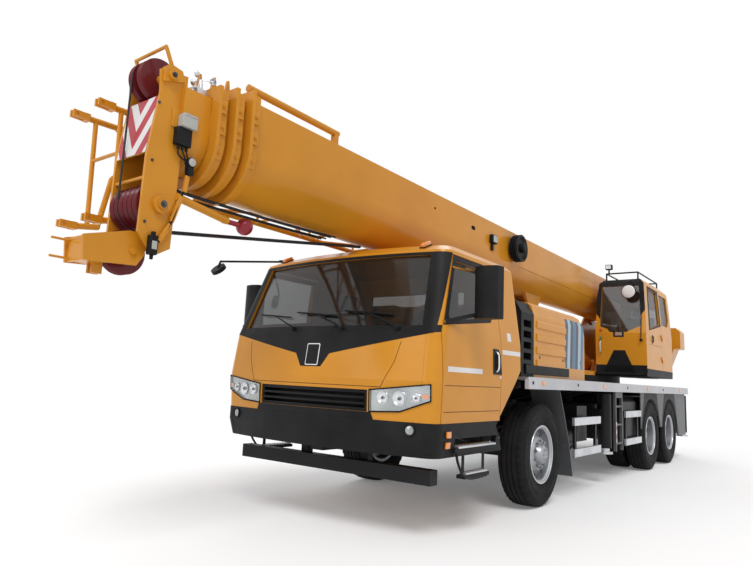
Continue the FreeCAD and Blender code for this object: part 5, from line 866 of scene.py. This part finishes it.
def shaded_hole_faces(x, ring):
    """Tests whether a face lies inside one of a wheel disc's eight hand holes and faces across it; those faces get
    painted shade.
    """
    def test(spot, way):
        for k in range(8):
            turn = math.pi * k / 4
            away = math.hypot(spot.x - x - ring * math.cos(turn), spot.z - AXLE_HEIGHT - ring * math.sin(turn))
            if away < 0.0255 and abs(way.y) < 0.5:
                return True
        return False
    return test


def wheels():
    for name, node, body, x, rows in WHEELS:
        form = bmesh.new()
        for y in rows:
            put_tyre(form, x, y)
        thing = keep(form, "treaded_tyre_" + name, body, "tyre", RUBBER, bevel=0.0)
        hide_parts(node)
        side = 1 if rows[0] > 0 else -1
        front = len(rows) == 1
        # Painted shade: the walls of the rims' hand holes take the near-black seam finish.
        recolour(("rim_" if front else "rims_") + name, JOINT_AND_RECESS_SHADE, shaded_hole_faces(x, 0.232 if front else 0.212))
        face = rows[0] + side * (0.104 if front else -0.157)
        form = bmesh.new()
        for k in range(10):
            angle = 2 * math.pi * (k + 0.5) / 10
            put_nut(form, (x + 0.138 * math.cos(angle), face, AXLE_HEIGHT + 0.138 * math.sin(angle)), (0, side, 0))
        cap = rows[0] + side * (0.166 if front else 0.060)
        for k in range(8):
            angle = 2 * math.pi * k / 8
            ring = 0.055 if front else 0.058
            spot = (x + ring * math.cos(angle), cap, AXLE_HEIGHT + ring * math.sin(angle))
            put_nut(form, spot, (0, side, 0), 0.007, 0.007)
        keep(form, "wheel_nuts_" + name, body, "chrome", NUT, bevel=0.001)
        form = bmesh.new()
        lip = rows[0] + side * 0.128
        put_ring(form, [(0.300, -0.004), (0.3035, 0.001), (0.3005, 0.006), (0.290, 0.004), (0.288, -0.004)],
                 (x, lip, AXLE_HEIGHT), (0, side, 0), 96)
        keep(form, "rim_edge_" + name, body, "rim_silver", RIM_EDGE, bevel=0.0)


# Carrier sides and deck

def hood_dress():
    """Bare black plate, slanted blue bars and fasteners on the sides of the engine hood."""
    for side, word in ((1, "left"), (-1, "right")):
        form = bmesh.new()
        inner, outer = sorted((side * 1.148, side * 1.170))
        put_box(form, (0.80, inner, 1.372), (2.05, outer, 1.468))
        keep(form, "name_strip_" + word, "carrier", "black_trim", TRIM, bevel=0.004)
        face = (0, side, 0)
        for k, finish in enumerate((BLUE_MID, BLUE_PALE, BLUE_DEEP, BLUE_MID, BLUE_DEEP, BLUE_PALE, BLUE_DEEP)):
            start = 0.27 + k * 0.092
            low = [edge_plane((start, 0, 1.46), (start - 0.045, 0, 2.06), (2, 0, 1.8), (0, 1, 0)),
                   edge_plane((start + 0.082, 0, 1.46), (start + 0.037, 0, 2.06), (-2, 0, 1.8), (0, 1, 0)),
                   ((0, 0, 1.478), (0, 0, -1)), ((0, 0, 2.065), (0, 0, 1)), ((0.21, 0, 0), (-1, 0, 0)),
                   ((0, side * 0.8, 0), (0, -side, 0))]
            skin("hood_bar_%d_%s" % (k + 1, word), "engine_hood", "carrier", "yellow_paint", finish, face, low,
                 thick=0.0012, least=0.5)
        form = bmesh.new()
        for x in (0.35, 0.95, 1.65):
            place = seat("engine_hood", (x, side * 2, 1.56), (0, -side, 0))
            moved(form, put_ring(form, [(0.016, -0.001), (0.016, 0.003), (0.010, 0.006), (0.0005, 0.006),
                                        (0.0005, -0.001)], (0, 0, 0), (0, 0, 1), 20), place)
        keep(form, "hood_locks_" + word, "carrier", "chrome", STEEL, bevel=0.0)


def rail_lamps():
    """Amber side lamps and dark reflectors along the deck's silver rail."""
    for side, word in ((1, "left"), (-1, "right")):
        for k, x in enumerate((1.855, -0.195, -2.45, -4.9)):
            place = seat("deck", (x, side * 2, 1.283), (0, -side, 0))
            form = bmesh.new()
            put_plate(form, place, 0.034, 0.018, 0.010, 0.005)
            keep(form, "rail_lamp_%d_%s" % (k + 1, word), "carrier", "lamp", AMBER, bevel=0.002)
        form = bmesh.new()
        for x in (2.126, 0.8, -1.3, -3.5):
            place = seat("deck", (x, side * 2, 1.283), (0, -side, 0))
            moved(form, put_ring(form, [(0.017, -0.001), (0.017, 0.004), (0.011, 0.007), (0.0005, 0.007),
                                        (0.0005, -0.001)], (0, 0, 0), (0, 0, 1), 20), place)
        keep(form, "rail_plugs_" + word, "carrier", "black_trim", TRIM, bevel=0.0)


def tail_lamps():
    """Cluster lamps on the rear outrigger housing, and a bare number plate over the towing eye."""
    back = (1, 0, 0)
    for side, word in ((1, "left"), (-1, "right")):
        form = bmesh.new()
        put_plate(form, seat("chassis_frame", (-8.0, side * 0.74, 0.93), back), 0.20, 0.058, 0.014, 0.02)
        keep(form, "tail_lamp_foot_" + word, "carrier", "black_trim", TRIM, bevel=0.003)
        for k, finish in enumerate((SIGNAL_RED, AMBER, SIGNAL_RED)):
            form = bmesh.new()
            place = seat("chassis_frame", (-8.0, side * (0.61 + 0.13 * k), 0.93), back)
            put_plate(form, place, 0.055, 0.044, 0.030, 0.014, lift=0.012)
            keep(form, "tail_lamp_%d_%s" % (k + 1, word), "carrier", "lamp", finish, bevel=0.006)
    form = bmesh.new()
    put_plate(form, seat("chassis_frame", (-8.0, 0.30, 0.93), back), 0.13, 0.056, 0.003, 0.012)
    keep(form, "number_plate", "carrier", "silver", WHITE, bevel=0.001)


# Superstructure

def operator_cab():
    """Black window surround with its bare badge, the recess under it, wiper, lamps and grab rail."""
    front = (1, 0, 0)
    node, body = "operator_cab", "superstructure"
    high = [((0, 0, 3.16), (0, 0, 1)), ((-2.86, 0, 0), (-1, 0, 0))]
    skin("up_frame_middle", node, body, "black_trim", TRIM, front, high + band(0.72, 0.89, "y") + [
        ((0, 0, 2.125), (0, 0, -1))], least=0.3)
    skin("up_frame_right", node, body, "black_trim", TRIM, front, high + [
        ((0, 0.72, 0), (0, 1, 0)), edge_plane((-2.6, 0.72, 2.125), (-2.6, 0.655, 2.215), (-2.6, 0.6, 2.7), front),
        edge_plane((-2.6, 0.655, 2.215), (-2.6, 0.43, 2.262), (-2.6, 0.6, 2.7), front)], least=0.3)
    skin("up_frame_left", node, body, "black_trim", TRIM, front, high + [
        ((0, 0.89, 0), (0, -1, 0)), edge_plane((-2.6, 0.89, 2.125), (-2.6, 0.955, 2.215), (-2.6, 1.0, 2.7), front),
        edge_plane((-2.6, 0.955, 2.215), (-2.6, 1.25, 2.262), (-2.6, 1.0, 2.7), front)], least=0.3)
    skin("up_recess", node, body, "black_trim", TRIM, front, [
        ((0, 0, 1.905), (0, 0, 1)), ((-2.8, 0, 0), (-1, 0, 0)),
        edge_plane((-2.6, 0.60, 1.66), (-2.6, 0.72, 1.90), (-2.6, 0.8, 1.7), front),
        edge_plane((-2.6, 1.01, 1.66), (-2.6, 0.905, 1.90), (-2.6, 0.8, 1.7), front)], least=0.3)
    skin("up_foot_front", node, body, "black_trim", TRIM, front, [
        ((0, 0, 1.662), (0, 0, 1)), ((-2.8, 0, 0), (-1, 0, 0))], least=0.3)
    skin("up_foot_side", node, body, "black_trim", TRIM, (0, 1, 0), [
        ((0, 0, 1.612), (0, 0, 1)), ((0, 1.1, 0), (0, -1, 0))], least=0.3)
    mid = (-3.2, 1.2, 2.7)
    across = (0, 1, 0)
    skin("up_door_frame", "operator_door", "cabin_door", "black_trim", TRIM, (0, 1, 0), [
        ((0, 0, 3.05), (0, 0, 1)), edge_plane((-2.70, 1.2, 2.235), (-3.64, 1.2, 2.39), mid, across)], least=0.4)
    place = seat(node, (0, 0.805, 2.175), (-1, 0, 0))
    form = bmesh.new()
    put_plate(form, place, 0.055, 0.028, 0.006, 0.006, lift=0.002)
    keep(form, "up_badge", body, "chrome", CHROME, bevel=0.001)
    recolour(node, BLACK, lambda spot, way: spot.z > 3.142)
    recolour("turntable", TRIM, lambda spot, way: spot.x > -4.5 and spot.y > 0.40 and spot.z < 1.56)
    for k, (x, finish) in enumerate(((2.243, SIGNAL_RED), (2.111, SIGNAL_GREEN))):
        place = seat(node, (0, 0.515, x), (-1, 0, 0))
        form = bmesh.new()
        moved(form, put_ring(form, [(0.024, -0.001), (0.024, 0.010), (0.019, 0.024), (0.0005, 0.028),
                                    (0.0005, -0.001)], (0, 0, 0), (0, 0, 1), 28), place)
        keep(form, "up_signal_%d" % (k + 1), body, "lamp", finish, bevel=0.0)
    form = bmesh.new()
    spot = touch(node, (0, 0.515, 2.05), (-1, 0, 0))[0]
    low = touch(node, (0, 0.515, 1.86), (-1, 0, 0))[0]
    put_tube(form, round_path([spot, spot + Vector((0.05, 0, -0.02)), low + Vector((0.05, 0, 0.02)), low], 6), 0.010, 12)
    keep(form, "up_grab_rail", body, "silver", SILVER, bevel=0.0)
    form = bmesh.new()
    foot = touch(node, (0, 1.165, 2.07), (-1, 0, 0))[0] + Vector((0.012, 0, 0))
    head = touch(node, (0, 1.165, 2.86), (-1, 0, 0))[0] + Vector((0.026, 0, 0))
    put_rod(form, foot - Vector((0.012, 0, 0)), foot + Vector((0.03, 0, 0)), 0.022, 16)
    middle = (foot + head) / 2 + Vector((0.02, 0, 0))
    put_tube(form, round_path([foot + Vector((0.02, 0, 0)), middle, head], 6), 0.007, 8)
    put_box(form, head + Vector((-0.014, -0.008, -0.36)), head + Vector((-0.002, 0.008, 0.06)))
    keep(form, "up_wiper", body, "black_trim", TRIM, bevel=0.001)
    form = bmesh.new()
    base = touch(node, (-2.80, 0.60, 4.0), (0, 0, -1))[0]
    put_rod(form, base, base + Vector((0, 0, 0.07)), 0.014, 12)
    put_box(form, base + Vector((-0.045, -0.055, 0.062)), base + Vector((0.035, 0.055, 0.150)))
    keep(form, "up_work_lamp", body, "black_trim", TRIM, bevel=0.008)
    form = bmesh.new()
    put_box(form, base + Vector((0.034, -0.045, 0.072)), base + Vector((0.040, 0.045, 0.140)))
    keep(form, "up_work_lens", body, "lamp", LAMP_BACK, bevel=0.003)
    form = bmesh.new()
    put_rod(form, (-2.75, 0.98, 3.118), (-2.585, 0.98, 3.06), 0.009, 12)
    put_rod(form, (-2.585, 0.98, 3.06), (-2.575, 0.98, 2.90), 0.009, 12)
    put_ring(form, [(0.113, -0.012), (0.120, -0.004), (0.113, 0.002), (0.0005, 0.002), (0.0005, -0.012)],
             (-2.56, 0.98, 2.885), (1, 0, 0), 40)
    keep(form, "up_mirror_stalk", body, "black_trim", TRIM, bevel=0.0)
    form = bmesh.new()
    put_ring(form, [(0.108, 0.0), (0.095, 0.012), (0.06, 0.021), (0.0005, 0.025), (0.0005, 0.0)], (-2.56, 0.98, 2.885),
             (1, 0, 0), 40)
    keep(form, "up_mirror_back", body, "silver", WHITE, bevel=0.0)
    place = seat("operator_door", (-2.967, 3, 2.113), (0, -1, 0))
    form = bmesh.new()
    put_plate(form, place, 0.022, 0.075, 0.006, 0.02)
    keep(form, "up_handle_dish", "cabin_door", "black_trim", TRIM, bevel=0.003)
    form = bmesh.new()
    moved(form, put_tube(form, round_path([(0, 0.05, 0.004), (0, 0.035, 0.020), (0, -0.035, 0.020), (0, -0.05, 0.004)], 5),
                         0.007, 10), place)
    keep(form, "up_handle_grip", "cabin_door", "black_trim", TRIM, bevel=0.0)
    groove("up_joint", "operator_door", "cabin_door", [(-2.80, 3, 2.02), (-3.60, 3, 2.02)], (0, -1, 0))


# Boom

def clip(points, test):
    """What is left of a flat convex outline on the side where the test isn't negative."""
    kept = []
    for k, here in enumerate(points):
        then = points[(k + 1) % len(points)]
        a, b = test(here), test(then)
        if a >= 0:
            kept.append(here)
        if a * b < 0:
            t = a / (a - b)
            kept.append((here[0] + (then[0] - here[0]) * t, here[1] + (then[1] - here[1]) * t))
    return kept


def chevron_board():
    """White board with red chevrons that point down, on the head's front plate."""
    low, high = Vector((5.932, 0, 2.668)), Vector((5.880, 0, 3.083))
    rise = (high - low).normalized()
    side = Vector((0, 1, 0))
    out = side.cross(rise).normalized()
    if out.x < 0:
        out = -out
    place = Matrix.Translation(low) @ Matrix((side, rise, out)).transposed().to_4x4()
    tall, wide = (high - low).length, 0.172
    form = bmesh.new()
    moved(form, put_prism(form, [(-wide, 0, 0.0005), (wide, 0, 0.0005), (wide, tall, 0.0005), (-wide, tall, 0.0005)],
                          (0, 0, 0.003)), place)
    keep(form, "chevron_board", "section_4", "silver", WHITE, bevel=0.0006)
    form = bmesh.new()
    slope, rise_of_bar = 1.60, 0.130
    for start in (-0.21, 0.05, 0.31):
        for way in (1, -1):
            half = [(0, 0), (way * wide, 0), (way * wide, tall), (0, tall)]
            low_edge = clip(half, lambda p: p[1] - slope * abs(p[0]) - start)
            strip = clip(low_edge, lambda p: start + rise_of_bar - p[1] + slope * abs(p[0])) if low_edge else []
            if len(strip) > 2:
                moved(form, put_prism(form, [(x, y, 0.003) for x, y in strip], (0, 0, 0.0012)), place)
    keep(form, "chevron_bars", "section_4", "red_paint", CHEVRON, bevel=0.0)


def head_fittings():
    """Control box, connectors, wind gauge, switches, conduit and pins on the boom head's left cheek."""
    body, node = "section_4", "boom_tip"
    cheek = 0.195
    form = bmesh.new()
    put_box(form, (5.60, cheek - 0.001, 2.90), (5.78, cheek + 0.012, 3.03))
    put_box(form, (5.62, cheek + 0.010, 2.915), (5.65, cheek + 0.030, 3.015))
    keep(form, "box_bracket", body, "yellow_paint", YELLOW, bevel=0.003)
    form = bmesh.new()
    put_box(form, (5.615, cheek + 0.012, 2.905), (5.735, cheek + 0.075, 2.995))
    put_box(form, (5.620, cheek + 0.010, 2.985), (5.730, cheek + 0.080, 3.000))
    keep(form, "control_box", body, "black_trim", PALE_BOX, bevel=0.004)
    form = bmesh.new()
    put_box(form, (5.640, cheek + 0.002, 2.775), (5.755, cheek + 0.055, 2.900))
    for k in range(3):
        put_rod(form, (5.665 + 0.032 * k, cheek + 0.035, 2.775), (5.665 + 0.032 * k, cheek + 0.035, 2.745), 0.011, 14)
    keep(form, "box_connectors", body, "black_trim", TRIM, bevel=0.004)
    form = bmesh.new()
    for k, bend in enumerate((0.0, 0.018, -0.014)):
        x = 5.665 + 0.032 * k
        put_tube(form, round_path([(x, cheek + 0.035, 2.750), (x - 0.01, cheek + 0.045 + bend / 2, 2.70),
                                   (5.635 + bend, cheek + 0.028, 2.66), (5.625 + bend, cheek + 0.018, 2.60)], 6),
                 0.0055, 8)
    put_tube(form, round_path([(5.62, cheek + 0.018, 2.60), (5.625, cheek + 0.016, 2.50), (5.66, cheek + 0.018, 2.42),
                               (5.70, cheek + 0.022, 2.28), (5.75, cheek + 0.02, 2.15), (5.80, cheek + 0.02, 2.08),
                               (5.835, cheek + 0.02, 2.05)], 6), 0.008, 8)
    keep(form, "head_cables", body, "black_trim", TRIM, bevel=0.0)
    form = bmesh.new()
    for (x0, z0), (x1, z1) in (((5.622, 2.585), (5.638, 2.465)), ((5.655, 2.43), (5.715, 2.235)),
                               ((5.722, 2.215), (5.795, 2.085))):
        a, b = Vector((x0, cheek + 0.006, z0)), Vector((x1, cheek + 0.006, z1))
        across = (b - a).normalized().cross(Vector((0, 1, 0))) * 0.016
        put_prism(form, [a - across, b - across, b + across, a + across], (0, 0.022, 0))
    keep(form, "cable_guards", body, "yellow_paint", YELLOW, bevel=0.003)
    form = bmesh.new()
    put_rod(form, (5.612, cheek - 0.001, 2.682), (5.612, cheek + 0.045, 2.682), 0.036, 24)
    put_box(form, (5.590, cheek, 2.590), (5.636, cheek + 0.040, 2.665))
    keep(form, "angle_gauge_body", body, "black_trim", TRIM, bevel=0.004)
    form = bmesh.new()
    put_ring(form, [(0.029, -0.002), (0.029, 0.003), (0.022, 0.006), (0.0005, 0.007), (0.0005, -0.002)],
             (5.612, cheek + 0.045, 2.682), (0, 1, 0), 28)
    keep(form, "angle_gauge_face", body, "black_trim", PALE_BOX, bevel=0.0)
    form = bmesh.new()
    put_box(form, (5.815, cheek - 0.002, 1.985), (5.870, cheek + 0.050, 2.115))
    put_rod(form, (5.842, cheek + 0.025, 2.110), (5.842, cheek + 0.025, 2.140), 0.016, 16)
    put_rod(form, (5.842, cheek + 0.025, 1.988), (5.842, cheek + 0.025, 1.955), 0.012, 16)
    keep(form, "height_switch", body, "black_trim", TRIM, bevel=0.006)
    form = bmesh.new()
    put_box(form, (5.824, cheek + 0.049, 2.020), (5.861, cheek + 0.053, 2.075))
    keep(form, "height_switch_cap", body, "black_trim", PALE_BOX, bevel=0.003)
    form = bmesh.new()
    post = Vector((5.560, cheek - 0.02, 3.285))
    put_tube(form, [(5.69, cheek - 0.01, 3.20), (5.62, cheek - 0.02, 3.255), post], 0.008, 10)
    put_rod(form, post - Vector((0, 0, 0.03)), post + Vector((0, 0, 0.05)), 0.020, 18, 0.012)
    put_box(form, post + Vector((-0.04, -0.025, -0.085)), post + Vector((0.04, 0.025, -0.025)))
    for k in range(3):
        angle = 2 * math.pi * k / 3 + 0.5
        tip = post + Vector((0.085 * math.cos(angle), 0.085 * math.sin(angle), 0.055))
        put_tube(form, [post + Vector((0, 0, 0.05)), tip], 0.0035, 8)
        along = Vector((-math.sin(angle), math.cos(angle), 0))
        put_ring(form, [(0.026, 0.0), (0.0255, 0.006), (0.020, 0.018), (0.010, 0.026), (0.0005, 0.0275), (0.0005, 0.0245),
                        (0.009, 0.023), (0.018, 0.016), (0.0235, 0.005), (0.024, 0.0)], tip, along, 20)
    keep(form, "wind_gauge", body, "silver", SILVER, bevel=0.0)
    form = bmesh.new()
    for x, z, size in ((5.800, 2.335, 0.020), (5.815, 3.245, 0.016)):
        for side in (1, -1):
            put_nut(form, (x, side * 0.240, z), (0, side, 0), size, 0.012)
    for z in (3.03, 2.62, 2.20):
        for side in (1, -1):
            put_nut(form, (5.90 - (z - 2.2) * 0.02, side * (cheek - 0.001), z), (0, side, 0), 0.009, 0.008)
    keep(form, "head_nuts", body, "chrome", STEEL, bevel=0.0008)


def put_rope(form, points, radius, steps=8):
    put_tube(form, round_path(points, steps), radius, 10)


def ropes():
    """Ropes that are held taut at both ends: in front of the head, under the belly and at the head's foot."""
    form = bmesh.new()
    over = [(5.815 + 0.142 * math.cos(math.radians(turn)), -0.05, 3.245 + 0.142 * math.sin(math.radians(turn)))
            for turn in range(150, -1, -10)]
    under = [(5.800 + 0.142 * math.cos(math.radians(turn)), -0.081, 2.335 + 0.142 * math.sin(math.radians(turn)))
             for turn in range(0, -91, -10)]
    put_tube(form, over + under, 0.0075, 10)
    keep(form, "hoist_rope_front", "section_4", "black_trim", ROPE, bevel=0.0)
    form = bmesh.new()
    for k, y in enumerate((-0.09, -0.03, 0.03, 0.09)):
        drop = 0.010 * (k % 2)
        put_rope(form, [(5.66, y, 2.515 - drop), (5.25, y, 2.512 - drop), (4.5, y, 2.520 - drop), (3.9, y, 2.535 - drop / 2)],
                 0.0075)
    keep(form, "belly_ropes", "section_4", "black_trim", ROPE, bevel=0.0)
    form = bmesh.new()
    put_rope(form, [(5.700, 0.02, 2.195), (5.45, 0.02, 2.232), (4.5, 0.02, 2.375), (3.75, 0.02, 2.490), (3.45, 0.02, 2.535)],
             0.014)
    keep(form, "tail_rope", "section_4", "black_trim", ROPE, bevel=0.0)


def boom_dress():
    """Cable reel, work lamp, painted shade of the sight holes, seam and bolted pads on the boom's sections."""
    recolour("boom_base", TRIM, lambda spot, way: 0.36 < spot.x < 0.76 and spot.y > 0.335 and 2.85 < spot.z < 3.26)
    form = bmesh.new()
    centre = Vector((0.56, 0.340, 3.055))
    for k in range(5):
        y = 0.018 + k * 0.023
        put_ring(form, [(0.150, y), (0.178, y + 0.002), (0.182, y + 0.006), (0.178, y + 0.010), (0.150, y + 0.012)],
                 centre, (0, 1, 0), 60)
    put_ring(form, [(0.062, 0.105), (0.062, 0.150), (0.045, 0.165), (0.0005, 0.168), (0.0005, 0.105)], centre,
             (0, 1, 0), 36)
    for k in range(6):
        angle = math.pi * k / 3
        spot = centre + Vector((0.048 * math.cos(angle), 0.152, 0.048 * math.sin(angle)))
        put_nut(form, spot, (0, 1, 0), 0.006, 0.006)
    keep(form, "reel_rims", "boom", "black_trim", TRIM, bevel=0.0)
    place = seat("boom_base", (1.186, 2, 3.055), (0, -1, 0))
    form = bmesh.new()
    put_box(form, (1.120, 0.319, 3.00), (1.250, 0.375, 3.11))
    put_box(form, (1.165, 0.319, 2.91), (1.215, 0.345, 3.00))
    keep(form, "boom_lamp", "boom", "black_trim", TRIM, bevel=0.008)
    form = bmesh.new()
    put_box(form, (1.133, 0.372, 3.012), (1.237, 0.380, 3.098))
    keep(form, "boom_lamp_lens", "boom", "lamp", LAMP_BACK, bevel=0.004)
    # Painted shade: flat near-black plates stand for the dark inside of two sight holes.
    form = bmesh.new()
    place = seat("boom_base", (1.672, 2, 3.098), (0, -1, 0))
    put_plate(form, place, 0.048, 0.024, 0.0015, 0.023)
    place = seat("boom_base", (2.55, 2, 3.12), (0, -1, 0))
    put_plate(form, place, 0.014, 0.014, 0.0015, 0.013)
    keep(form, "sight_hole_shades", "boom", "black_trim", JOINT_AND_RECESS_SHADE, bevel=0.0)
    for side, word in ((1, "left"), (-1, "right")):
        groove("boom_seam_" + word, "boom_base", "boom",
               [(0.34, side * 2, 2.85), (-1.3, side * 2, 2.835), (-2.98, side * 2, 2.82)], (0, -side, 0), 0.002, 20)
    for node, body, x in (("boom_base", "boom", 5.187), ("boom_section_2", "section_2", 5.317),
                          ("boom_section_3", "section_3", 5.447)):
        form = bmesh.new()
        dots = bmesh.new()
        for side in (1, -1):
            for z in (2.80, 2.98, 3.14):
                place = seat(node, (x, side * 2, z), (0, -side, 0))
                put_plate(form, place, 0.034, 0.050, 0.016, 0.006)
                spot = place @ Vector((0, 0, 0.016))
                put_nut(dots, spot, (0, side, 0), 0.012, 0.012)
        keep(form, "collar_pads_" + body, body, "yellow_paint", YELLOW, bevel=0.003)
        keep(dots, "collar_nuts_" + body, body, "yellow_paint", YELLOW, bevel=0.0)
    recolour("head_sheaves", BALL_RED, lambda spot, way: spot.x < 5.40)


cab_panels()
cab_badge()
cab_joints()
wipers()
headlamps()
small_lamps()
door_dress(1, "left")
door_dress(-1, "right")
door_surround()
carrier_trim()
step_treads()
seats()
wheels()
hood_dress()
rail_lamps()
tail_lamps()
operator_cab()
chevron_board()
head_fittings()
ropes()
boom_dress()


# Floor, light and camera

def plain_rays(tree):
    """One for the rays of the camera, of shine and of glass, and nothing for the rays that light things."""
    path = tree.nodes.new("ShaderNodeLightPath")
    total = path.outputs["Is Camera Ray"]
    for name in ("Is Glossy Ray", "Is Transmission Ray"):
        more = tree.nodes.new("ShaderNodeMath")
        more.operation = "MAXIMUM"
        tree.links.new(total, more.inputs[0])
        tree.links.new(path.outputs[name], more.inputs[1])
        total = more.outputs["Value"]
    return total


def add_floor():
    """A pale floor that shows a little lighter than it is lit, with the crane's shadow on it."""
    bpy.ops.mesh.primitive_plane_add(size=160)
    floor = bpy.context.object
    floor.name = "floor"
    made, tree, shader = blank("floor_white", Roughness=0.9, Specular_IOR_Level=0.0)
    tint(tree, shader, noise(tree, 0.3), (0.93, 0.93, 0.93), (0.95, 0.95, 0.95))
    shader.inputs["Emission Color"].default_value = (1, 1, 1, 1)
    lift = tree.nodes.new("ShaderNodeMath")
    lift.operation = "MULTIPLY"
    lift.inputs[1].default_value = 0.13
    tree.links.new(plain_rays(tree), lift.inputs[0])
    tree.links.new(lift.outputs["Value"], shader.inputs["Emission Strength"])
    floor.data.materials.append(made)


def add_sun(name, towards, spread, power):
    """A soft lamp at an endless distance; towards is the way to it."""
    data = bpy.data.lights.new(name, "SUN")
    data.angle = math.radians(spread)
    data.energy = power
    lamp = bpy.data.objects.new(name, data)
    lamp.rotation_euler = Vector(towards).to_track_quat("Z", "Y").to_euler()
    bpy.context.scene.collection.objects.link(lamp)


def add_light():
    world = bpy.data.worlds.new("studio")
    bpy.context.scene.world = world
    world.use_nodes = True
    tree = world.node_tree
    ground = tree.nodes["Background"]
    ground.inputs["Color"].default_value = (0.97, 0.98, 1.0, 1)
    ground.inputs["Strength"].default_value = 0.50
    white = tree.nodes.new("ShaderNodeBackground")
    white.inputs["Color"].default_value = (1, 1, 1, 1)
    white.inputs["Strength"].default_value = 1.0
    mix = tree.nodes.new("ShaderNodeMixShader")
    tree.links.new(plain_rays(tree), mix.inputs["Fac"])
    tree.links.new(ground.outputs["Background"], mix.inputs[1])
    tree.links.new(white.outputs["Background"], mix.inputs[2])
    tree.links.new(mix.outputs["Shader"], tree.nodes["World Output"].inputs["Surface"])
    add_sun("key", (0.50, 0.45, 0.90), 25.0, 1.45)
    add_sun("front", (0.90, -0.35, 0.45), 30.0, 0.45)
    add_sun("back", (-0.70, -0.60, 0.80), 30.0, 0.35)


IMAGE_WIDTH = 753
FOCAL_PIXELS = 613.0
CAMERA_SPOT = (8.070, 3.766, 1.253)
CAMERA_YAW = math.radians(217.29)
CAMERA_PITCH = math.radians(8.88)
CAMERA_ROLL = math.radians(2.55)


def add_camera():
    data = bpy.data.cameras.new("view")
    data.sensor_width = 36.0
    data.lens = 36.0 * FOCAL_PIXELS / IMAGE_WIDTH
    data.clip_end = 300.0
    flat = math.cos(CAMERA_PITCH)
    ahead = Vector((flat * math.cos(CAMERA_YAW), flat * math.sin(CAMERA_YAW), math.sin(CAMERA_PITCH)))
    level = ahead.cross(UP).normalized()
    upright = level.cross(ahead)
    right = math.cos(CAMERA_ROLL) * level + math.sin(CAMERA_ROLL) * upright
    top = -math.sin(CAMERA_ROLL) * level + math.cos(CAMERA_ROLL) * upright
    camera = bpy.data.objects.new("camera", data)
    turn = Matrix((right, top, -ahead)).transposed().to_4x4()
    camera.matrix_world = Matrix.Translation(CAMERA_SPOT) @ turn
    bpy.context.scene.collection.objects.link(camera)
    bpy.context.scene.camera = camera


add_floor()
add_light()
add_camera()
bpy.context.scene.view_settings.view_transform = "Standard"
